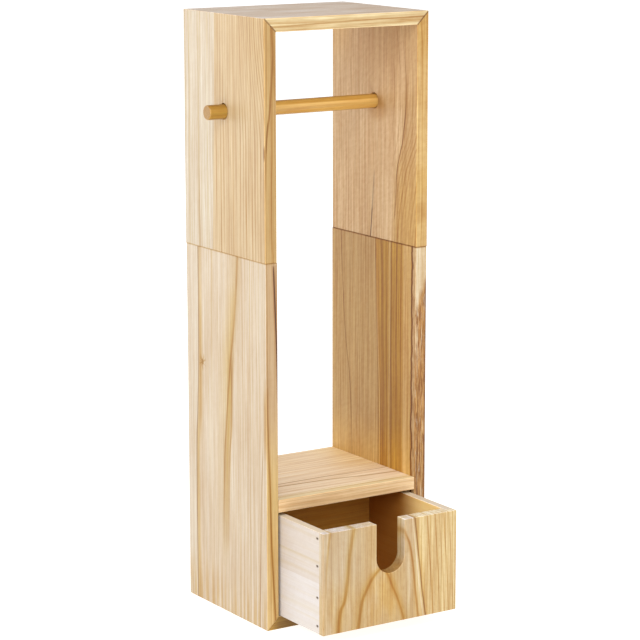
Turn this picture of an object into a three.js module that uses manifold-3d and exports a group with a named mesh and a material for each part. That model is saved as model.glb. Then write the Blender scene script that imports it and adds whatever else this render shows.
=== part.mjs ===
// Free-standing wooden roll holder with a shelf and a drawer.
// Millimetres, +Z up. Origin: centre of the footprint, on the floor. The open front faces -Y.
//
// Two box modules stand on each other. The lower one is a mitred U of two sides and a bottom, with a
// shelf between the sides and a drawer bay under it. The upper one is a mitred inverted U that carries
// the rod the roll hangs on. The drawer is drawn part of the way open, and the rod is pushed home.

import * as THREE from 'three';
import { mergeVertices } from 'three/addons/utils/BufferGeometryUtils.js';
import Module from 'manifold-3d';

const wasm = await Module();
wasm.setup();

// ---- driving dimensions -------------------------------------------------------------------------
const HEIGHT = 610;            // overall height
const DEPTH = 154;             // front to back, both modules
const UPPER_WIDTH = 192.5;     // the upper module is a shade wider than the lower one
const LOWER_WIDTH = 191.5;
const SIDE_T = 13.5;           // thickness of the four side boards and the top
const BASE_T = 13;             // thickness of the bottom and of the shelf
const SEAM_Z = 372.5;          // where the upper module stands on the lower one
const SHELF_TOP_Z = 133.4;

const ROD_D = 14.7;            // dowel rod
const ROD_HOLE_D = 15.9;
const ROD_Z = 514.25;          // centre of the rod's holes
const ROD_OUT = 19;            // how far the rod stands out of the left side
const ROD_IN = 7.5;            // how far its other end goes into the right side
const ROD_SAG = 0.25;          // it lies low in its holes
const ROD_CHAMFER = 0.9;

const DRAWER_WIDTH = 160;
const DRAWER_HEIGHT = 103.7;
const DRAWER_DEPTH = 150;
const DRAWER_OPEN = 77.5;      // how far it is drawn out
const DRAWER_LIFT = 0.3;       // running gap above the bottom board
const FRONT_T = 13.5;
const FRONT_LIP = 6.75;        // what the rebate leaves of the front at each end
const DRAWER_SIDE_T = 9;
const DRAWER_BACK_T = 7;
const NOTCH_WIDTH = 33.5;      // finger notch: straight sides on a half round
const NOTCH_DEPTH = 52;
const PLY_T = 3;               // drawer bottom and bay back
const PLY_UP = 5;              // drawer bottom, above the lower edge
const GROOVE = 3;              // groove depth

const DOWEL_D = 6;
const MODULE_DOWEL_L = 30;
const MODULE_DOWEL_Y = 48;
const SHELF_DOWEL_L = 28;
const SHELF_DOWEL_IN_SIDE = 9;
const SHELF_DOWEL_Y = 45;
const SPLINE_T = 3;            // loose tongue glued across each mitre
const SPLINE_W = 10;
const SPLINE_L = 120;

const BRAD_L = 19;
const BRAD_D = 1.0;
const BRAD_HEAD_D = 1.5;
const BRAD_HOLE_D = 2.1;
const BRAD_Z = [8, 37, 69, 97];          // above the drawer's lower edge
const BRAD_FRONT_Y = FRONT_LIP + 3.4;    // behind the drawer's front face
const BRAD_BACK_Y = DRAWER_DEPTH - DRAWER_BACK_T / 2;

const GLUE = 0.1;              // glue line left between two boards
const CLEAR = 0.3;             // gap round a dowel or spline in its hole

// ---- helpers ------------------------------------------------------------------------------------
function toSolid(geometry) {
  const g = geometry.clone();
  g.deleteAttribute('normal');
  g.deleteAttribute('uv');
  const merged = mergeVertices(g, 1e-4);
  return new wasm.Manifold(new wasm.Mesh({
    numProp: 3,
    vertProperties: new Float32Array(merged.attributes.position.array),
    triVerts: new Uint32Array(merged.index.array),
  }));
}

function toGeometry(solid) {
  const mesh = solid.getMesh();
  const g = new THREE.BufferGeometry();
  g.setAttribute('position', new THREE.BufferAttribute(new Float32Array(mesh.vertProperties), 3));
  g.setIndex(new THREE.BufferAttribute(new Uint32Array(mesh.triVerts), 1));
  g.computeVertexNormals();
  return g;
}

function cut(geometry, ...cutters) {
  let solid = toSolid(geometry);
  for (const c of cutters) solid = solid.subtract(toSolid(c));
  return toGeometry(solid);
}

// a board whose outline is given in X and Z, running from y0 to y1
function boardXZ(outline, y0, y1) {
  const shape = outline instanceof THREE.Shape ? outline : new THREE.Shape(outline.map(([x, z]) => new THREE.Vector2(x, z)));
  const g = new THREE.ExtrudeGeometry(shape, { depth: y1 - y0, bevelEnabled: false, curveSegments: 24 });
  g.rotateX(Math.PI / 2);
  g.translate(0, y1, 0);
  return g;
}

function block(x0, x1, y0, y1, z0, z1) {
  const g = new THREE.BoxGeometry(x1 - x0, y1 - y0, z1 - z0);
  g.translate((x0 + x1) / 2, (y0 + y1) / 2, (z0 + z1) / 2);
  return g;
}

// a round bar or hole along X from x0 to x1
function roundX(d, x0, x1, y, z, segments = 16) {
  const g = new THREE.CylinderGeometry(d / 2, d / 2, x1 - x0, segments);
  g.rotateZ(Math.PI / 2);
  g.translate((x0 + x1) / 2, y, z);
  return g;
}

function roundZ(d, z0, z1, x, y, segments = 16) {
  const g = new THREE.CylinderGeometry(d / 2, d / 2, z1 - z0, segments);
  g.rotateX(Math.PI / 2);
  g.translate(x, y, (z0 + z1) / 2);
  return g;
}

// a strip along Y whose thickness lies along a mitre that rises at `angle` from +X
function stripY(t, w, l, x, z, angle) {
  const g = new THREE.BoxGeometry(t, l, w);
  g.rotateY(-angle);
  g.translate(x, 0, z);
  return g;
}

const wood = (color, roughness) => new THREE.MeshStandardMaterial({ color, roughness, metalness: 0 });
const MAT = {
  upper: () => wood(0xe2bf86, 0.55),
  lower: () => wood(0xe3c28c, 0.55),
  top: () => wood(0xd9c3a4, 0.55),
  shelf: () => wood(0xdcb882, 0.55),
  rod: () => wood(0xcf9a4e, 0.45),
  drawerFront: () => wood(0xdbb473, 0.55),
  drawerSide: () => wood(0xecdfcc, 0.6),
  ply: () => wood(0xcfb183, 0.7),
  dowel: () => wood(0xd8b98a, 0.7),
  steel: () => new THREE.MeshStandardMaterial({ color: 0x6c6660, roughness: 0.45, metalness: 0.8 }),
};

// puts a piece into its group: the geometry is centred on its own box, and the mesh carries the place
function add(group, name, geometry, material) {
  geometry.computeBoundingBox();
  const c = geometry.boundingBox.getCenter(new THREE.Vector3());
  c.set(Math.round(c.x * 100) / 100, Math.round(c.y * 100) / 100, Math.round(c.z * 100) / 100);
  geometry.translate(-c.x, -c.y, -c.z);
  const mesh = new THREE.Mesh(geometry, material);
  mesh.name = name;
  mesh.position.copy(c);
  group.add(mesh);
  return mesh;
}

const holder = new THREE.Group();
const upper = new THREE.Group();
const lower = new THREE.Group();
const rod = new THREE.Group();
const drawer = new THREE.Group();
holder.add(upper, lower, rod, drawer);

const back = DEPTH / 2;
const front = -DEPTH / 2;

// ---- upper module -------------------------------------------------------------------------------
{
  const xo = UPPER_WIDTH / 2;
  const xi = xo - SIDE_T;
  const zi = HEIGHT - SIDE_T;
  const z0 = SEAM_Z + GLUE;
  const midX = (xo + xi) / 2;
  const midZ = (HEIGHT + zi) / 2;
  const dowelX = (UPPER_WIDTH / 2 + LOWER_WIDTH / 2) / 2 - SIDE_T / 2;
  const slots = (side) => stripY(SPLINE_T + 2 * CLEAR, SPLINE_W + 2 * CLEAR, SPLINE_L + 2 * CLEAR,
    side * midX, midZ, side * Math.PI / 4);
  const dowelHoles = (side) => [-1, 1].map((k) =>
    roundZ(DOWEL_D + 2 * CLEAR, SEAM_Z - 1, SEAM_Z + MODULE_DOWEL_L / 2 + CLEAR, side * dowelX, k * MODULE_DOWEL_Y));

  const g = 0.2;
  add(upper, 'top_panel', cut(
    boardXZ([[-xi + g, zi], [xi - g, zi], [xo - g, HEIGHT], [-xo + g, HEIGHT]], front, back),
    slots(-1), slots(1)), MAT.top());

  add(upper, 'upper_left_side', cut(
    boardXZ([[-xo, z0], [-xi, z0], [-xi, zi], [-xo, HEIGHT]], front, back),
    slots(-1), ...dowelHoles(-1),
    roundX(ROD_HOLE_D, -xo - 1, -xi + 1, 0, ROD_Z, 36)), MAT.upper());

  add(upper, 'upper_right_side', cut(
    boardXZ([[xi, z0], [xo, z0], [xo, HEIGHT], [xi, zi]], front, back),
    slots(1), ...dowelHoles(1),
    roundX(ROD_HOLE_D, xi - 1, xi + ROD_IN + 0.8, 0, ROD_Z, 36)), MAT.upper());

  for (const [side, word] of [[-1, 'left'], [1, 'right']]) {
    add(upper, `top_mitre_spline_${word}`,
      stripY(SPLINE_T, SPLINE_W, SPLINE_L, side * midX, midZ, side * Math.PI / 4), MAT.ply());
    for (const [k, where] of [[-1, 'front'], [1, 'rear']]) {
      add(upper, `module_dowel_${word}_${where}`,
        roundZ(DOWEL_D, SEAM_Z - MODULE_DOWEL_L / 2, SEAM_Z + MODULE_DOWEL_L / 2, side * dowelX, k * MODULE_DOWEL_Y), MAT.dowel());
    }
  }
}

// ---- lower module -------------------------------------------------------------------------------
{
  const xo = LOWER_WIDTH / 2;
  const xi = xo - SIDE_T;
  const z1 = SEAM_Z - GLUE;
  const midX = (xo + xi) / 2;
  const midZ = BASE_T / 2;
  const rise = Math.atan2(BASE_T, SIDE_T);
  const dowelX = (UPPER_WIDTH / 2 + LOWER_WIDTH / 2) / 2 - SIDE_T / 2;
  const shelfZ = SHELF_TOP_Z - BASE_T / 2;
  const slots = (side) => stripY(SPLINE_T + 2 * CLEAR, SPLINE_W + 2 * CLEAR, SPLINE_L + 2 * CLEAR,
    side * midX, midZ, -side * rise);
  const shelfHoles = (side) => [-1, 1].map((k) => {
    const a = side * (xi + SHELF_DOWEL_IN_SIDE + CLEAR);
    const b = side * (xi + SHELF_DOWEL_IN_SIDE - SHELF_DOWEL_L - CLEAR);
    return roundX(DOWEL_D + 2 * CLEAR, Math.min(a, b), Math.max(a, b), k * SHELF_DOWEL_Y, shelfZ);
  });
  const dowelHoles = (side) => [-1, 1].map((k) =>
    roundZ(DOWEL_D + 2 * CLEAR, SEAM_Z - MODULE_DOWEL_L / 2 - CLEAR, SEAM_Z + 1, side * dowelX, k * MODULE_DOWEL_Y));

  const g = 0.2;
  add(lower, 'lower_left_side', cut(
    boardXZ([[-xo, 0], [-xi, BASE_T], [-xi, z1], [-xo, z1]], front, back),
    slots(-1), ...dowelHoles(-1), ...shelfHoles(-1)), MAT.lower());

  add(lower, 'lower_right_side', cut(
    boardXZ([[xi, BASE_T], [xo, 0], [xo, z1], [xi, z1]], front, back),
    slots(1), ...dowelHoles(1), ...shelfHoles(1)), MAT.lower());

  add(lower, 'bottom_panel', cut(
    boardXZ([[-xo + g, 0], [xo - g, 0], [xi - g, BASE_T], [-xi + g, BASE_T]], front, back),
    slots(-1), slots(1)), MAT.shelf());

  add(lower, 'shelf', cut(
    block(-xi + GLUE, xi - GLUE, front, back, SHELF_TOP_Z - BASE_T, SHELF_TOP_Z),
    ...shelfHoles(-1), ...shelfHoles(1)), MAT.shelf());

  add(lower, 'drawer_bay_back',
    block(-xi + GLUE, xi - GLUE, back - PLY_T, back, BASE_T + GLUE, SHELF_TOP_Z - BASE_T - GLUE), MAT.ply());

  for (const [side, word] of [[-1, 'left'], [1, 'right']]) {
    add(lower, `bottom_mitre_spline_${word}`,
      stripY(SPLINE_T, SPLINE_W, SPLINE_L, side * midX, midZ, -side * rise), MAT.ply());
    for (const [k, where] of [[-1, 'front'], [1, 'rear']]) {
      const a = side * (xi + SHELF_DOWEL_IN_SIDE);
      const b = side * (xi + SHELF_DOWEL_IN_SIDE - SHELF_DOWEL_L);
      add(lower, `shelf_dowel_${word}_${where}`,
        roundX(DOWEL_D, Math.min(a, b), Math.max(a, b), k * SHELF_DOWEL_Y, shelfZ), MAT.dowel());
    }
  }
}

// ---- rod ----------------------------------------------------------------------------------------
{
  const r = ROD_D / 2;
  const x0 = -UPPER_WIDTH / 2 - ROD_OUT;
  const x1 = UPPER_WIDTH / 2 - SIDE_T + ROD_IN;
  const l = x1 - x0;
  const profile = [[0, 0], [r - ROD_CHAMFER, 0], [r, ROD_CHAMFER], [r, l - ROD_CHAMFER], [r - ROD_CHAMFER, l], [0, l]];
  const g = new THREE.LatheGeometry(profile.map(([x, y]) => new THREE.Vector2(x, y)), 36);
  const mesh = new THREE.Mesh(toGeometry(toSolid(g)), MAT.rod());
  mesh.name = 'roll_rod';
  mesh.rotation.z = -Math.PI / 2;
  rod.add(mesh);
  rod.position.set(x0, 0, ROD_Z - ROD_SAG);
}

// ---- drawer: origin at the lower edge of its front face, +Y into the drawer ------------------------
{
  const w = DRAWER_WIDTH / 2;
  const h = DRAWER_HEIGHT;
  const si = w - DRAWER_SIDE_T;                // inner face of a side
  const r = NOTCH_WIDTH / 2;
  const backY = DRAWER_DEPTH - DRAWER_BACK_T;  // inner face of the back

  const outline = new THREE.Shape();
  outline.moveTo(-w, 0);
  outline.lineTo(w, 0);
  outline.lineTo(w, h);
  outline.lineTo(r, h);
  outline.lineTo(r, h - NOTCH_DEPTH + r);
  outline.absarc(0, h - NOTCH_DEPTH + r, r, 0, Math.PI, true);
  outline.lineTo(-r, h);
  outline.lineTo(-w, h);
  outline.closePath();

  const groove = block(-si - GROOVE, si + GROOVE, FRONT_T - GROOVE, backY + GROOVE, PLY_UP, PLY_UP + PLY_T + 0.4);
  const bradHoles = (side, y, z = BRAD_Z) => z.map((zz) => {
    const a = side * (w + 1);
    const b = side * (w - BRAD_L - 0.6);
    return roundX(BRAD_HOLE_D, Math.min(a, b), Math.max(a, b), y, zz, 10);
  });

  add(drawer, 'drawer_front', cut(
    boardXZ(outline, 0, FRONT_T),
    block(-w - 1, -si, FRONT_LIP, FRONT_T + 1, -1, h + 1),
    block(si, w + 1, FRONT_LIP, FRONT_T + 1, -1, h + 1),
    groove, ...bradHoles(-1, BRAD_FRONT_Y), ...bradHoles(1, BRAD_FRONT_Y)), MAT.drawerFront());

  for (const [side, word] of [[-1, 'left'], [1, 'right']]) {
    const a = side * w;
    const b = side * (si + GLUE);
    add(drawer, `drawer_${word}_side`, cut(
      block(Math.min(a, b), Math.max(a, b), FRONT_LIP + GLUE, DRAWER_DEPTH, 0, h),
      groove, ...bradHoles(side, BRAD_FRONT_Y), ...bradHoles(side, BRAD_BACK_Y)), MAT.drawerSide());
  }

  add(drawer, 'drawer_back', cut(
    block(-si, si, backY, DRAWER_DEPTH, 0, h),
    groove, ...bradHoles(-1, BRAD_BACK_Y), ...bradHoles(1, BRAD_BACK_Y)), MAT.drawerSide());

  add(drawer, 'drawer_bottom',
    block(-si - GROOVE + 0.3, si + GROOVE - 0.3, FRONT_T - GROOVE + 0.3, backY + GROOVE - 0.3, PLY_UP + 0.2, PLY_UP + 0.2 + PLY_T), MAT.ply());

  // brads: driven from outside through each side, four at each corner
  const hr = BRAD_HEAD_D / 2;
  const br = BRAD_D / 2;
  const bradProfile = [[0, 0], [hr, 0], [hr, 0.7], [br, 1.1], [br, BRAD_L - 1.4], [0, BRAD_L]];
  for (const [side, word] of [[-1, 'left'], [1, 'right']]) {
    for (const [y, where] of [[BRAD_FRONT_Y, 'front'], [BRAD_BACK_Y, 'rear']]) {
      BRAD_Z.forEach((z, i) => {
        const g = new THREE.LatheGeometry(bradProfile.map(([x, yy]) => new THREE.Vector2(x, yy)), 8);
        const mesh = new THREE.Mesh(toGeometry(toSolid(g)), MAT.steel());
        mesh.name = `drawer_brad_${word}_${where}_${i + 1}`;
        mesh.rotation.z = side < 0 ? -Math.PI / 2 : Math.PI / 2;
        mesh.position.set(side * (w - 0.1), y, z);
        drawer.add(mesh);
      });
    }
  }

  drawer.position.set(0, front - DRAWER_OPEN, BASE_T + DRAWER_LIFT);
}

export default holder;
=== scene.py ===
import math

import bmesh
import bpy
from mathutils import Matrix, Vector


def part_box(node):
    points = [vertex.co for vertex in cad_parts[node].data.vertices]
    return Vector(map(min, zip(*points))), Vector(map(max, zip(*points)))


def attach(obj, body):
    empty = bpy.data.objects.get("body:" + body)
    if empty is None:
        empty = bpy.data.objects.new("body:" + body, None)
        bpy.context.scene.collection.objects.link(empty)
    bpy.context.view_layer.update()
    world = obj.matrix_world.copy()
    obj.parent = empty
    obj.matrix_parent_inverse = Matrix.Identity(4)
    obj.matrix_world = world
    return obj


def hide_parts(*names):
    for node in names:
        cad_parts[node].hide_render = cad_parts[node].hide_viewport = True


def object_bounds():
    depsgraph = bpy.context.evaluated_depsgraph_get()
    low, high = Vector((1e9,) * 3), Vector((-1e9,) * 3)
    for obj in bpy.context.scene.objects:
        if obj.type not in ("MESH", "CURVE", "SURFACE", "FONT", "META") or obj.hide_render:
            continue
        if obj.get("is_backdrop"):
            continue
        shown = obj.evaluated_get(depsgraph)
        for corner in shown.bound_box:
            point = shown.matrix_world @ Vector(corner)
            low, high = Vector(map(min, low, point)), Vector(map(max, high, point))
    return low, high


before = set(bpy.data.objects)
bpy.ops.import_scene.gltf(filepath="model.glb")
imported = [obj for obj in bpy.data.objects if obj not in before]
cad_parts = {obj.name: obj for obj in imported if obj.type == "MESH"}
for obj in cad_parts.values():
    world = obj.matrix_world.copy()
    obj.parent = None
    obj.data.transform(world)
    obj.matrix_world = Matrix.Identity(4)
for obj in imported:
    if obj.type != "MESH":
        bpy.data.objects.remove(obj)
cad_lo, cad_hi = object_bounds()
scene = bpy.context.scene

# Everything below is built in millimetres in the row frame, and scaled to metres as each piece is finished.
MM = 0.001


def span(node):
    lo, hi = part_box(node)
    return [v / MM for v in lo], [v / MM for v in hi]


# ---- mesh helpers ---------------------------------------------------------------------------------
def prism(outline, y0, y1):
    """A closed solid whose outline is given in X and Z, running along Y."""
    bm = bmesh.new()
    a = [bm.verts.new((x, y0, z)) for x, z in outline]
    b = [bm.verts.new((x, y1, z)) for x, z in outline]
    bm.faces.new(a)
    bm.faces.new(list(reversed(b)))
    for i in range(len(a)):
        j = (i + 1) % len(a)
        bm.faces.new((a[i], b[i], b[j], a[j]))
    bmesh.ops.recalc_face_normals(bm, faces=bm.faces)
    return bm


def block(x0, x1, y0, y1, z0, z1):
    return prism([(x0, z0), (x1, z0), (x1, z1), (x0, z1)], y0, y1)


def lathe(profile, centre, axis, segments=32):
    """Turns (along, radius) pairs round an axis through centre. The ends close to a point or a cap."""
    along = Vector(axis).normalized()
    side = Vector((0, 0, 1)) if abs(along.z) < 0.9 else Vector((1, 0, 0))
    u = along.cross(side).normalized()
    v = along.cross(u)
    c = Vector(centre)
    bm = bmesh.new()
    rings = []
    for s, r in profile:
        if r <= 1e-6:
            rings.append([bm.verts.new(c + along * s)])
        else:
            rings.append([bm.verts.new(c + along * s + (u * math.cos(2 * math.pi * k / segments)
                                                        + v * math.sin(2 * math.pi * k / segments)) * r)
                          for k in range(segments)])
    for p, q in zip(rings, rings[1:]):
        for k in range(segments):
            m = (k + 1) % segments
            if len(p) == 1 and len(q) == 1:
                continue
            if len(p) == 1:
                bm.faces.new((p[0], q[m], q[k]))
            elif len(q) == 1:
                bm.faces.new((p[k], p[m], q[0]))
            else:
                bm.faces.new((p[k], p[m], q[m], q[k]))
    for ring in (rings[0], rings[-1]):
        if len(ring) > 1:
            bm.faces.new(ring)
    bmesh.ops.recalc_face_normals(bm, faces=bm.faces)
    return bm


def to_object(bm, name="work"):
    me = bpy.data.meshes.new(name)
    bm.to_mesh(me)
    o = bpy.data.objects.new(name, me)
    scene.collection.objects.link(o)
    return o


def evaluated(o):
    """The object's mesh with its modifiers, as a new bmesh. The object is removed."""
    dg = bpy.context.evaluated_depsgraph_get()
    me = bpy.data.meshes.new_from_object(o.evaluated_get(dg), depsgraph=dg)
    bm = bmesh.new()
    bm.from_mesh(me)
    old = o.data
    bpy.data.objects.remove(o)
    bpy.data.meshes.remove(old)
    bpy.data.meshes.remove(me)
    return bm


def ease(bm, weight, width=0.85, segments=3):
    """Rounds edges. weight(edge) says what share of the width each one gets."""
    layer = bm.edges.layers.float.get("bevel_weight_edge") or bm.edges.layers.float.new("bevel_weight_edge")
    for e in bm.edges:
        e[layer] = weight(e)
    o = to_object(bm)
    m = o.modifiers.new("ease", "BEVEL")
    m.width = width
    m.segments = segments
    m.limit_method = "WEIGHT"
    m.offset_type = "OFFSET"
    m.use_clamp_overlap = True
    bm.free()
    return evaluated(o)


def drill(bm, *cutters):
    """Takes the cutters away, and frees them."""
    o = to_object(bm)
    tools = []
    for c in cutters:
        t = to_object(c, "cutter")
        c.free()
        tools.append(t)
        m = o.modifiers.new("cut", "BOOLEAN")
        m.operation = "DIFFERENCE"
        m.solver = "EXACT"
        m.object = t
    bpy.context.view_layer.update()
    bm.free()
    out = evaluated(o)
    for t in tools:
        me = t.data
        bpy.data.objects.remove(t)
        bpy.data.meshes.remove(me)
    return out


def slice_off(bm, point, normal):
    """Keeps what lies behind the plane, and closes the cut."""
    geom = bm.verts[:] + bm.edges[:] + bm.faces[:]
    bmesh.ops.bisect_plane(bm, geom=geom, dist=1e-5, plane_co=point, plane_no=normal, clear_outer=True)
    rim = [e for e in bm.edges if e.is_boundary]
    bmesh.ops.holes_fill(bm, edges=rim, sides=0)
    return bm


def piece(bm, name, material, body, nodes, sharp=34):
    """Makes the finished piece, which rides on a body and stands for its CAD nodes."""
    bmesh.ops.remove_doubles(bm, verts=bm.verts, dist=0.0004)
    bmesh.ops.dissolve_degenerate(bm, dist=0.0004, edges=bm.edges)
    bmesh.ops.recalc_face_normals(bm, faces=bm.faces)
    layer = bm.edges.layers.float.get("bevel_weight_edge")
    if layer:
        bm.edges.layers.float.remove(layer)
    for v in bm.verts:
        v.co *= MM
    me = bpy.data.meshes.new(name)
    bm.to_mesh(me)
    bm.free()
    for f in me.polygons:
        f.use_smooth = True
        f.material_index = 0
    me.set_sharp_from_angle(angle=math.radians(sharp))
    me.materials.clear()
    me.materials.append(material)
    o = bpy.data.objects.new(name, me)
    scene.collection.objects.link(o)
    m = o.modifiers.new("flat faces", "WEIGHTED_NORMAL")
    m.mode = "FACE_AREA"
    m.weight = 50
    m.keep_sharp = True
    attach(o, body)
    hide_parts(*nodes)
    return o


# ---- material helpers -----------------------------------------------------------------------------
def lin(r, g, b):
    """An sRGB colour, 0 to 255, as linear light."""
    return tuple((v / 255 / 12.92) if v <= 10.3 else ((v / 255 + 0.055) / 1.055) ** 2.4 for v in (r, g, b))


X, Y, Z = (1, 0, 0), (0, 1, 0), (0, 0, 1)


class Wood:
    """Builds one node material. Positions are in millimetres in the row frame, l along the grain, w across it, t through it."""

    def __init__(self, name, along=Z, across=Y, through=X):
        self.mat = bpy.data.materials.new(name)
        self.mat.use_nodes = True
        self.nt = self.mat.node_tree
        self.nt.nodes.clear()
        self.out = self.node("ShaderNodeOutputMaterial")
        self.bsdf = self.node("ShaderNodeBsdfPrincipled")
        self.nt.links.new(self.bsdf.outputs[0], self.out.inputs[0])
        tc = self.node("ShaderNodeTexCoord")
        p = self.vmath("SCALE", tc.outputs["Object"], scale=1000)
        self.normal = tc.outputs["Normal"]
        self.l = self.vmath("DOT_PRODUCT", p, along)
        self.w = self.vmath("DOT_PRODUCT", p, across)
        self.t = self.vmath("DOT_PRODUCT", p, through)
        self.n_l = self.vmath("DOT_PRODUCT", self.normal, along)
        self.n_w = self.vmath("DOT_PRODUCT", self.normal, across)
        self.n_t = self.vmath("DOT_PRODUCT", self.normal, through)
        self.p = p
        self.colour = None
        self.shift = 0.0

    # nodes
    def node(self, kind):
        return self.nt.nodes.new(kind)

    def put(self, socket, value):
        if isinstance(value, bpy.types.NodeSocket):
            self.nt.links.new(value, socket)
        else:
            socket.default_value = value

    def math(self, op, a, b=None, c=None, clamp=False):
        n = self.node("ShaderNodeMath")
        n.operation = op
        n.use_clamp = clamp
        self.put(n.inputs[0], a)
        if b is not None:
            self.put(n.inputs[1], b)
        if c is not None:
            self.put(n.inputs[2], c)
        return n.outputs[0]

    def add(self, a, b):
        return self.math("ADD", a, b)

    def sub(self, a, b):
        return self.math("SUBTRACT", a, b)

    def mul(self, a, b):
        return self.math("MULTIPLY", a, b)

    def mad(self, a, b, c):
        return self.math("MULTIPLY_ADD", a, b, c)

    def vmath(self, op, a, b=None, c=None, scale=None):
        n = self.node("ShaderNodeVectorMath")
        n.operation = op
        self.put(n.inputs[0], a)
        if b is not None:
            self.put(n.inputs[1], b)
        if c is not None:
            self.put(n.inputs[2], c)
        if scale is not None:
            self.put(n.inputs["Scale"], scale)
        return n.outputs["Value"] if op in ("DOT_PRODUCT", "LENGTH", "DISTANCE") else n.outputs["Vector"]

    def xyz(self, a, b, c):
        n = self.node("ShaderNodeCombineXYZ")
        for s, v in zip(n.inputs, (a, b, c)):
            self.put(s, v)
        return n.outputs[0]

    def span(self, value, a, b, lo=0.0, hi=1.0, smooth=True):
        """Where value lies between a and b, as lo to hi. a may be above b."""
        if a > b:
            a, b, lo, hi = b, a, hi, lo
        n = self.node("ShaderNodeMapRange")
        n.interpolation_type = "SMOOTHSTEP" if smooth else "LINEAR"
        n.clamp = True
        self.put(n.inputs["Value"], value)
        n.inputs["From Min"].default_value = a
        n.inputs["From Max"].default_value = b
        n.inputs["To Min"].default_value = lo
        n.inputs["To Max"].default_value = hi
        return n.outputs["Result"]

    def noise(self, vec, scale=1.0, detail=2.0, rough=0.5, distortion=0.0):
        n = self.node("ShaderNodeTexNoise")
        n.noise_dimensions = "3D"
        self.put(n.inputs["Vector"], vec)
        n.inputs["Scale"].default_value = scale
        n.inputs["Detail"].default_value = detail
        n.inputs["Roughness"].default_value = rough
        n.inputs["Distortion"].default_value = distortion
        return n.outputs["Fac"] if "Fac" in n.outputs else n.outputs[0]

    def mix(self, fac, a, b, blend="MIX"):
        n = self.node("ShaderNodeMix")
        n.data_type = "RGBA"
        n.blend_type = blend
        n.clamp_factor = True
        self.put(n.inputs[0], fac)
        for socket, v in ((n.inputs[6], a), (n.inputs[7], b)):
            self.put(socket, (*v, 1) if isinstance(v, tuple) and len(v) == 3 else v)
        return n.outputs[2]

    def curve(self, x, points):
        n = self.node("ShaderNodeFloatCurve")
        self.put(n.inputs["Value"], x)
        n.mapping.extend = "HORIZONTAL"
        c = n.mapping.curves[0]
        points = sorted(points)
        c.points[0].location = points[0]
        c.points[-1].location = points[-1]
        for q in points[1:-1]:
            c.points.new(*q)
        n.mapping.update()
        return n.outputs[0]

    def stretched(self, sl, sw, st, seed=0.0):
        """Position for noise, scaled along each of the board's directions."""
        return self.xyz(self.mad(self.l, sl, seed), self.mad(self.wc, sw, self.add(self.shift, seed)), self.mul(self.t, st))

    # features
    def track(self, points):
        """The across position of a line given as (l, w) points, and l as 0 to 1 between its ends."""
        ls, ws = [q[0] for q in points], [q[1] for q in points]
        l0, l1, w0, w1 = min(ls), max(ls), min(ws), max(ws)
        if w1 - w0 < 0.01:
            w1 = w0 + 0.01
        at = self.span(self.l, l0, l1, smooth=False)
        c = self.curve(at, [((a - l0) / (l1 - l0), (b - w0) / (w1 - w0)) for a, b in points])
        return self.mad(c, w1 - w0, w0), at, l0, l1

    def line(self, points, left, right=None, fade=None, coordinate=None, flat=0.0):
        """A mask along a line, that falls off over left and right millimetres to each side, and is full within flat of it. fade is (l, strength) points."""
        right = left if right is None else right
        c, at, l0, l1 = self.track(points)
        d = self.sub(self.wc if coordinate is None else coordinate, c)
        m = self.mul(self.span(d, -left, -flat), self.span(d, right, flat))
        if fade:
            ls = [q[0] for q in fade]
            a0, a1 = min(ls), max(ls)
            at2 = self.span(self.l, a0, a1, smooth=False)
            m = self.mul(m, self.curve(at2, [((a - a0) / (a1 - a0), s) for a, s in fade]))
        return m

    def stain_and_painted_light(self, mask, colour, strength=1.0):
        """Multiplies the colour where the mask is, both for the wood's own stains and for painted light and shade. A
        darkening stain is drawn towards yellow, as resin and heartwood are.
        """
        r, g, b = colour
        if r > g > b and b < 0.92:
            colour = (r, g + 0.05 * (r - g), b * 0.92)
        fac = self.mul(mask, strength) if strength != 1.0 else mask
        self.colour = self.mix(fac, self.colour, colour, "MULTIPLY")

    def paint(self, mask, colour, strength=1.0):
        fac = self.mul(mask, strength) if strength != 1.0 else mask
        self.colour = self.mix(fac, self.colour, colour)

    def box_mask(self, l=None, w=None, t=None, soft=6):
        """A soft-edged box, with each range as (from, to)."""
        m = None
        for value, r in ((self.l, l), (self.w, w), (self.t, t)):
            if r is None:
                continue
            s = r[2] if len(r) > 2 else soft
            a = self.mul(self.span(value, r[0] - s, r[0] + s), self.span(value, r[1] + s, r[1] - s))
            m = a if m is None else self.mul(m, a)
        return m

    def mitre(self, level, slope, scale, strength=0.85):
        """A dark glue line on the plane z = level + slope * |x|, both in millimetres."""
        x = self.math("ABSOLUTE", self.vmath("DOT_PRODUCT", self.p, X))
        z = self.vmath("DOT_PRODUCT", self.p, Z)
        d = self.mul(self.math("ABSOLUTE", self.sub(self.mad(x, -slope, z), level)), scale)
        end = self.span(self.math("ABSOLUTE", self.vmath("DOT_PRODUCT", self.normal, Y)), 0.5, 0.8)
        self.stain_and_painted_light(self.mul(end, self.span(d, 1.0, 0.2)), (0.30, 0.19, 0.11), strength)

    def butt(self, level, colour, strength=0.8):
        """A darker line where two boards meet at a level."""
        self.stain_and_painted_light(self.span(self.math("ABSOLUTE", self.sub(self.l, level)), 1.3, 0.35), colour, strength)

    def facing(self, which, sign, lo=0.45, hi=0.8):
        """1 on faces that look along +/- l, w or t."""
        n = {"l": self.n_l, "w": self.n_w, "t": self.n_t}[which]
        return self.span(self.mul(n, sign), lo, hi)

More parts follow.
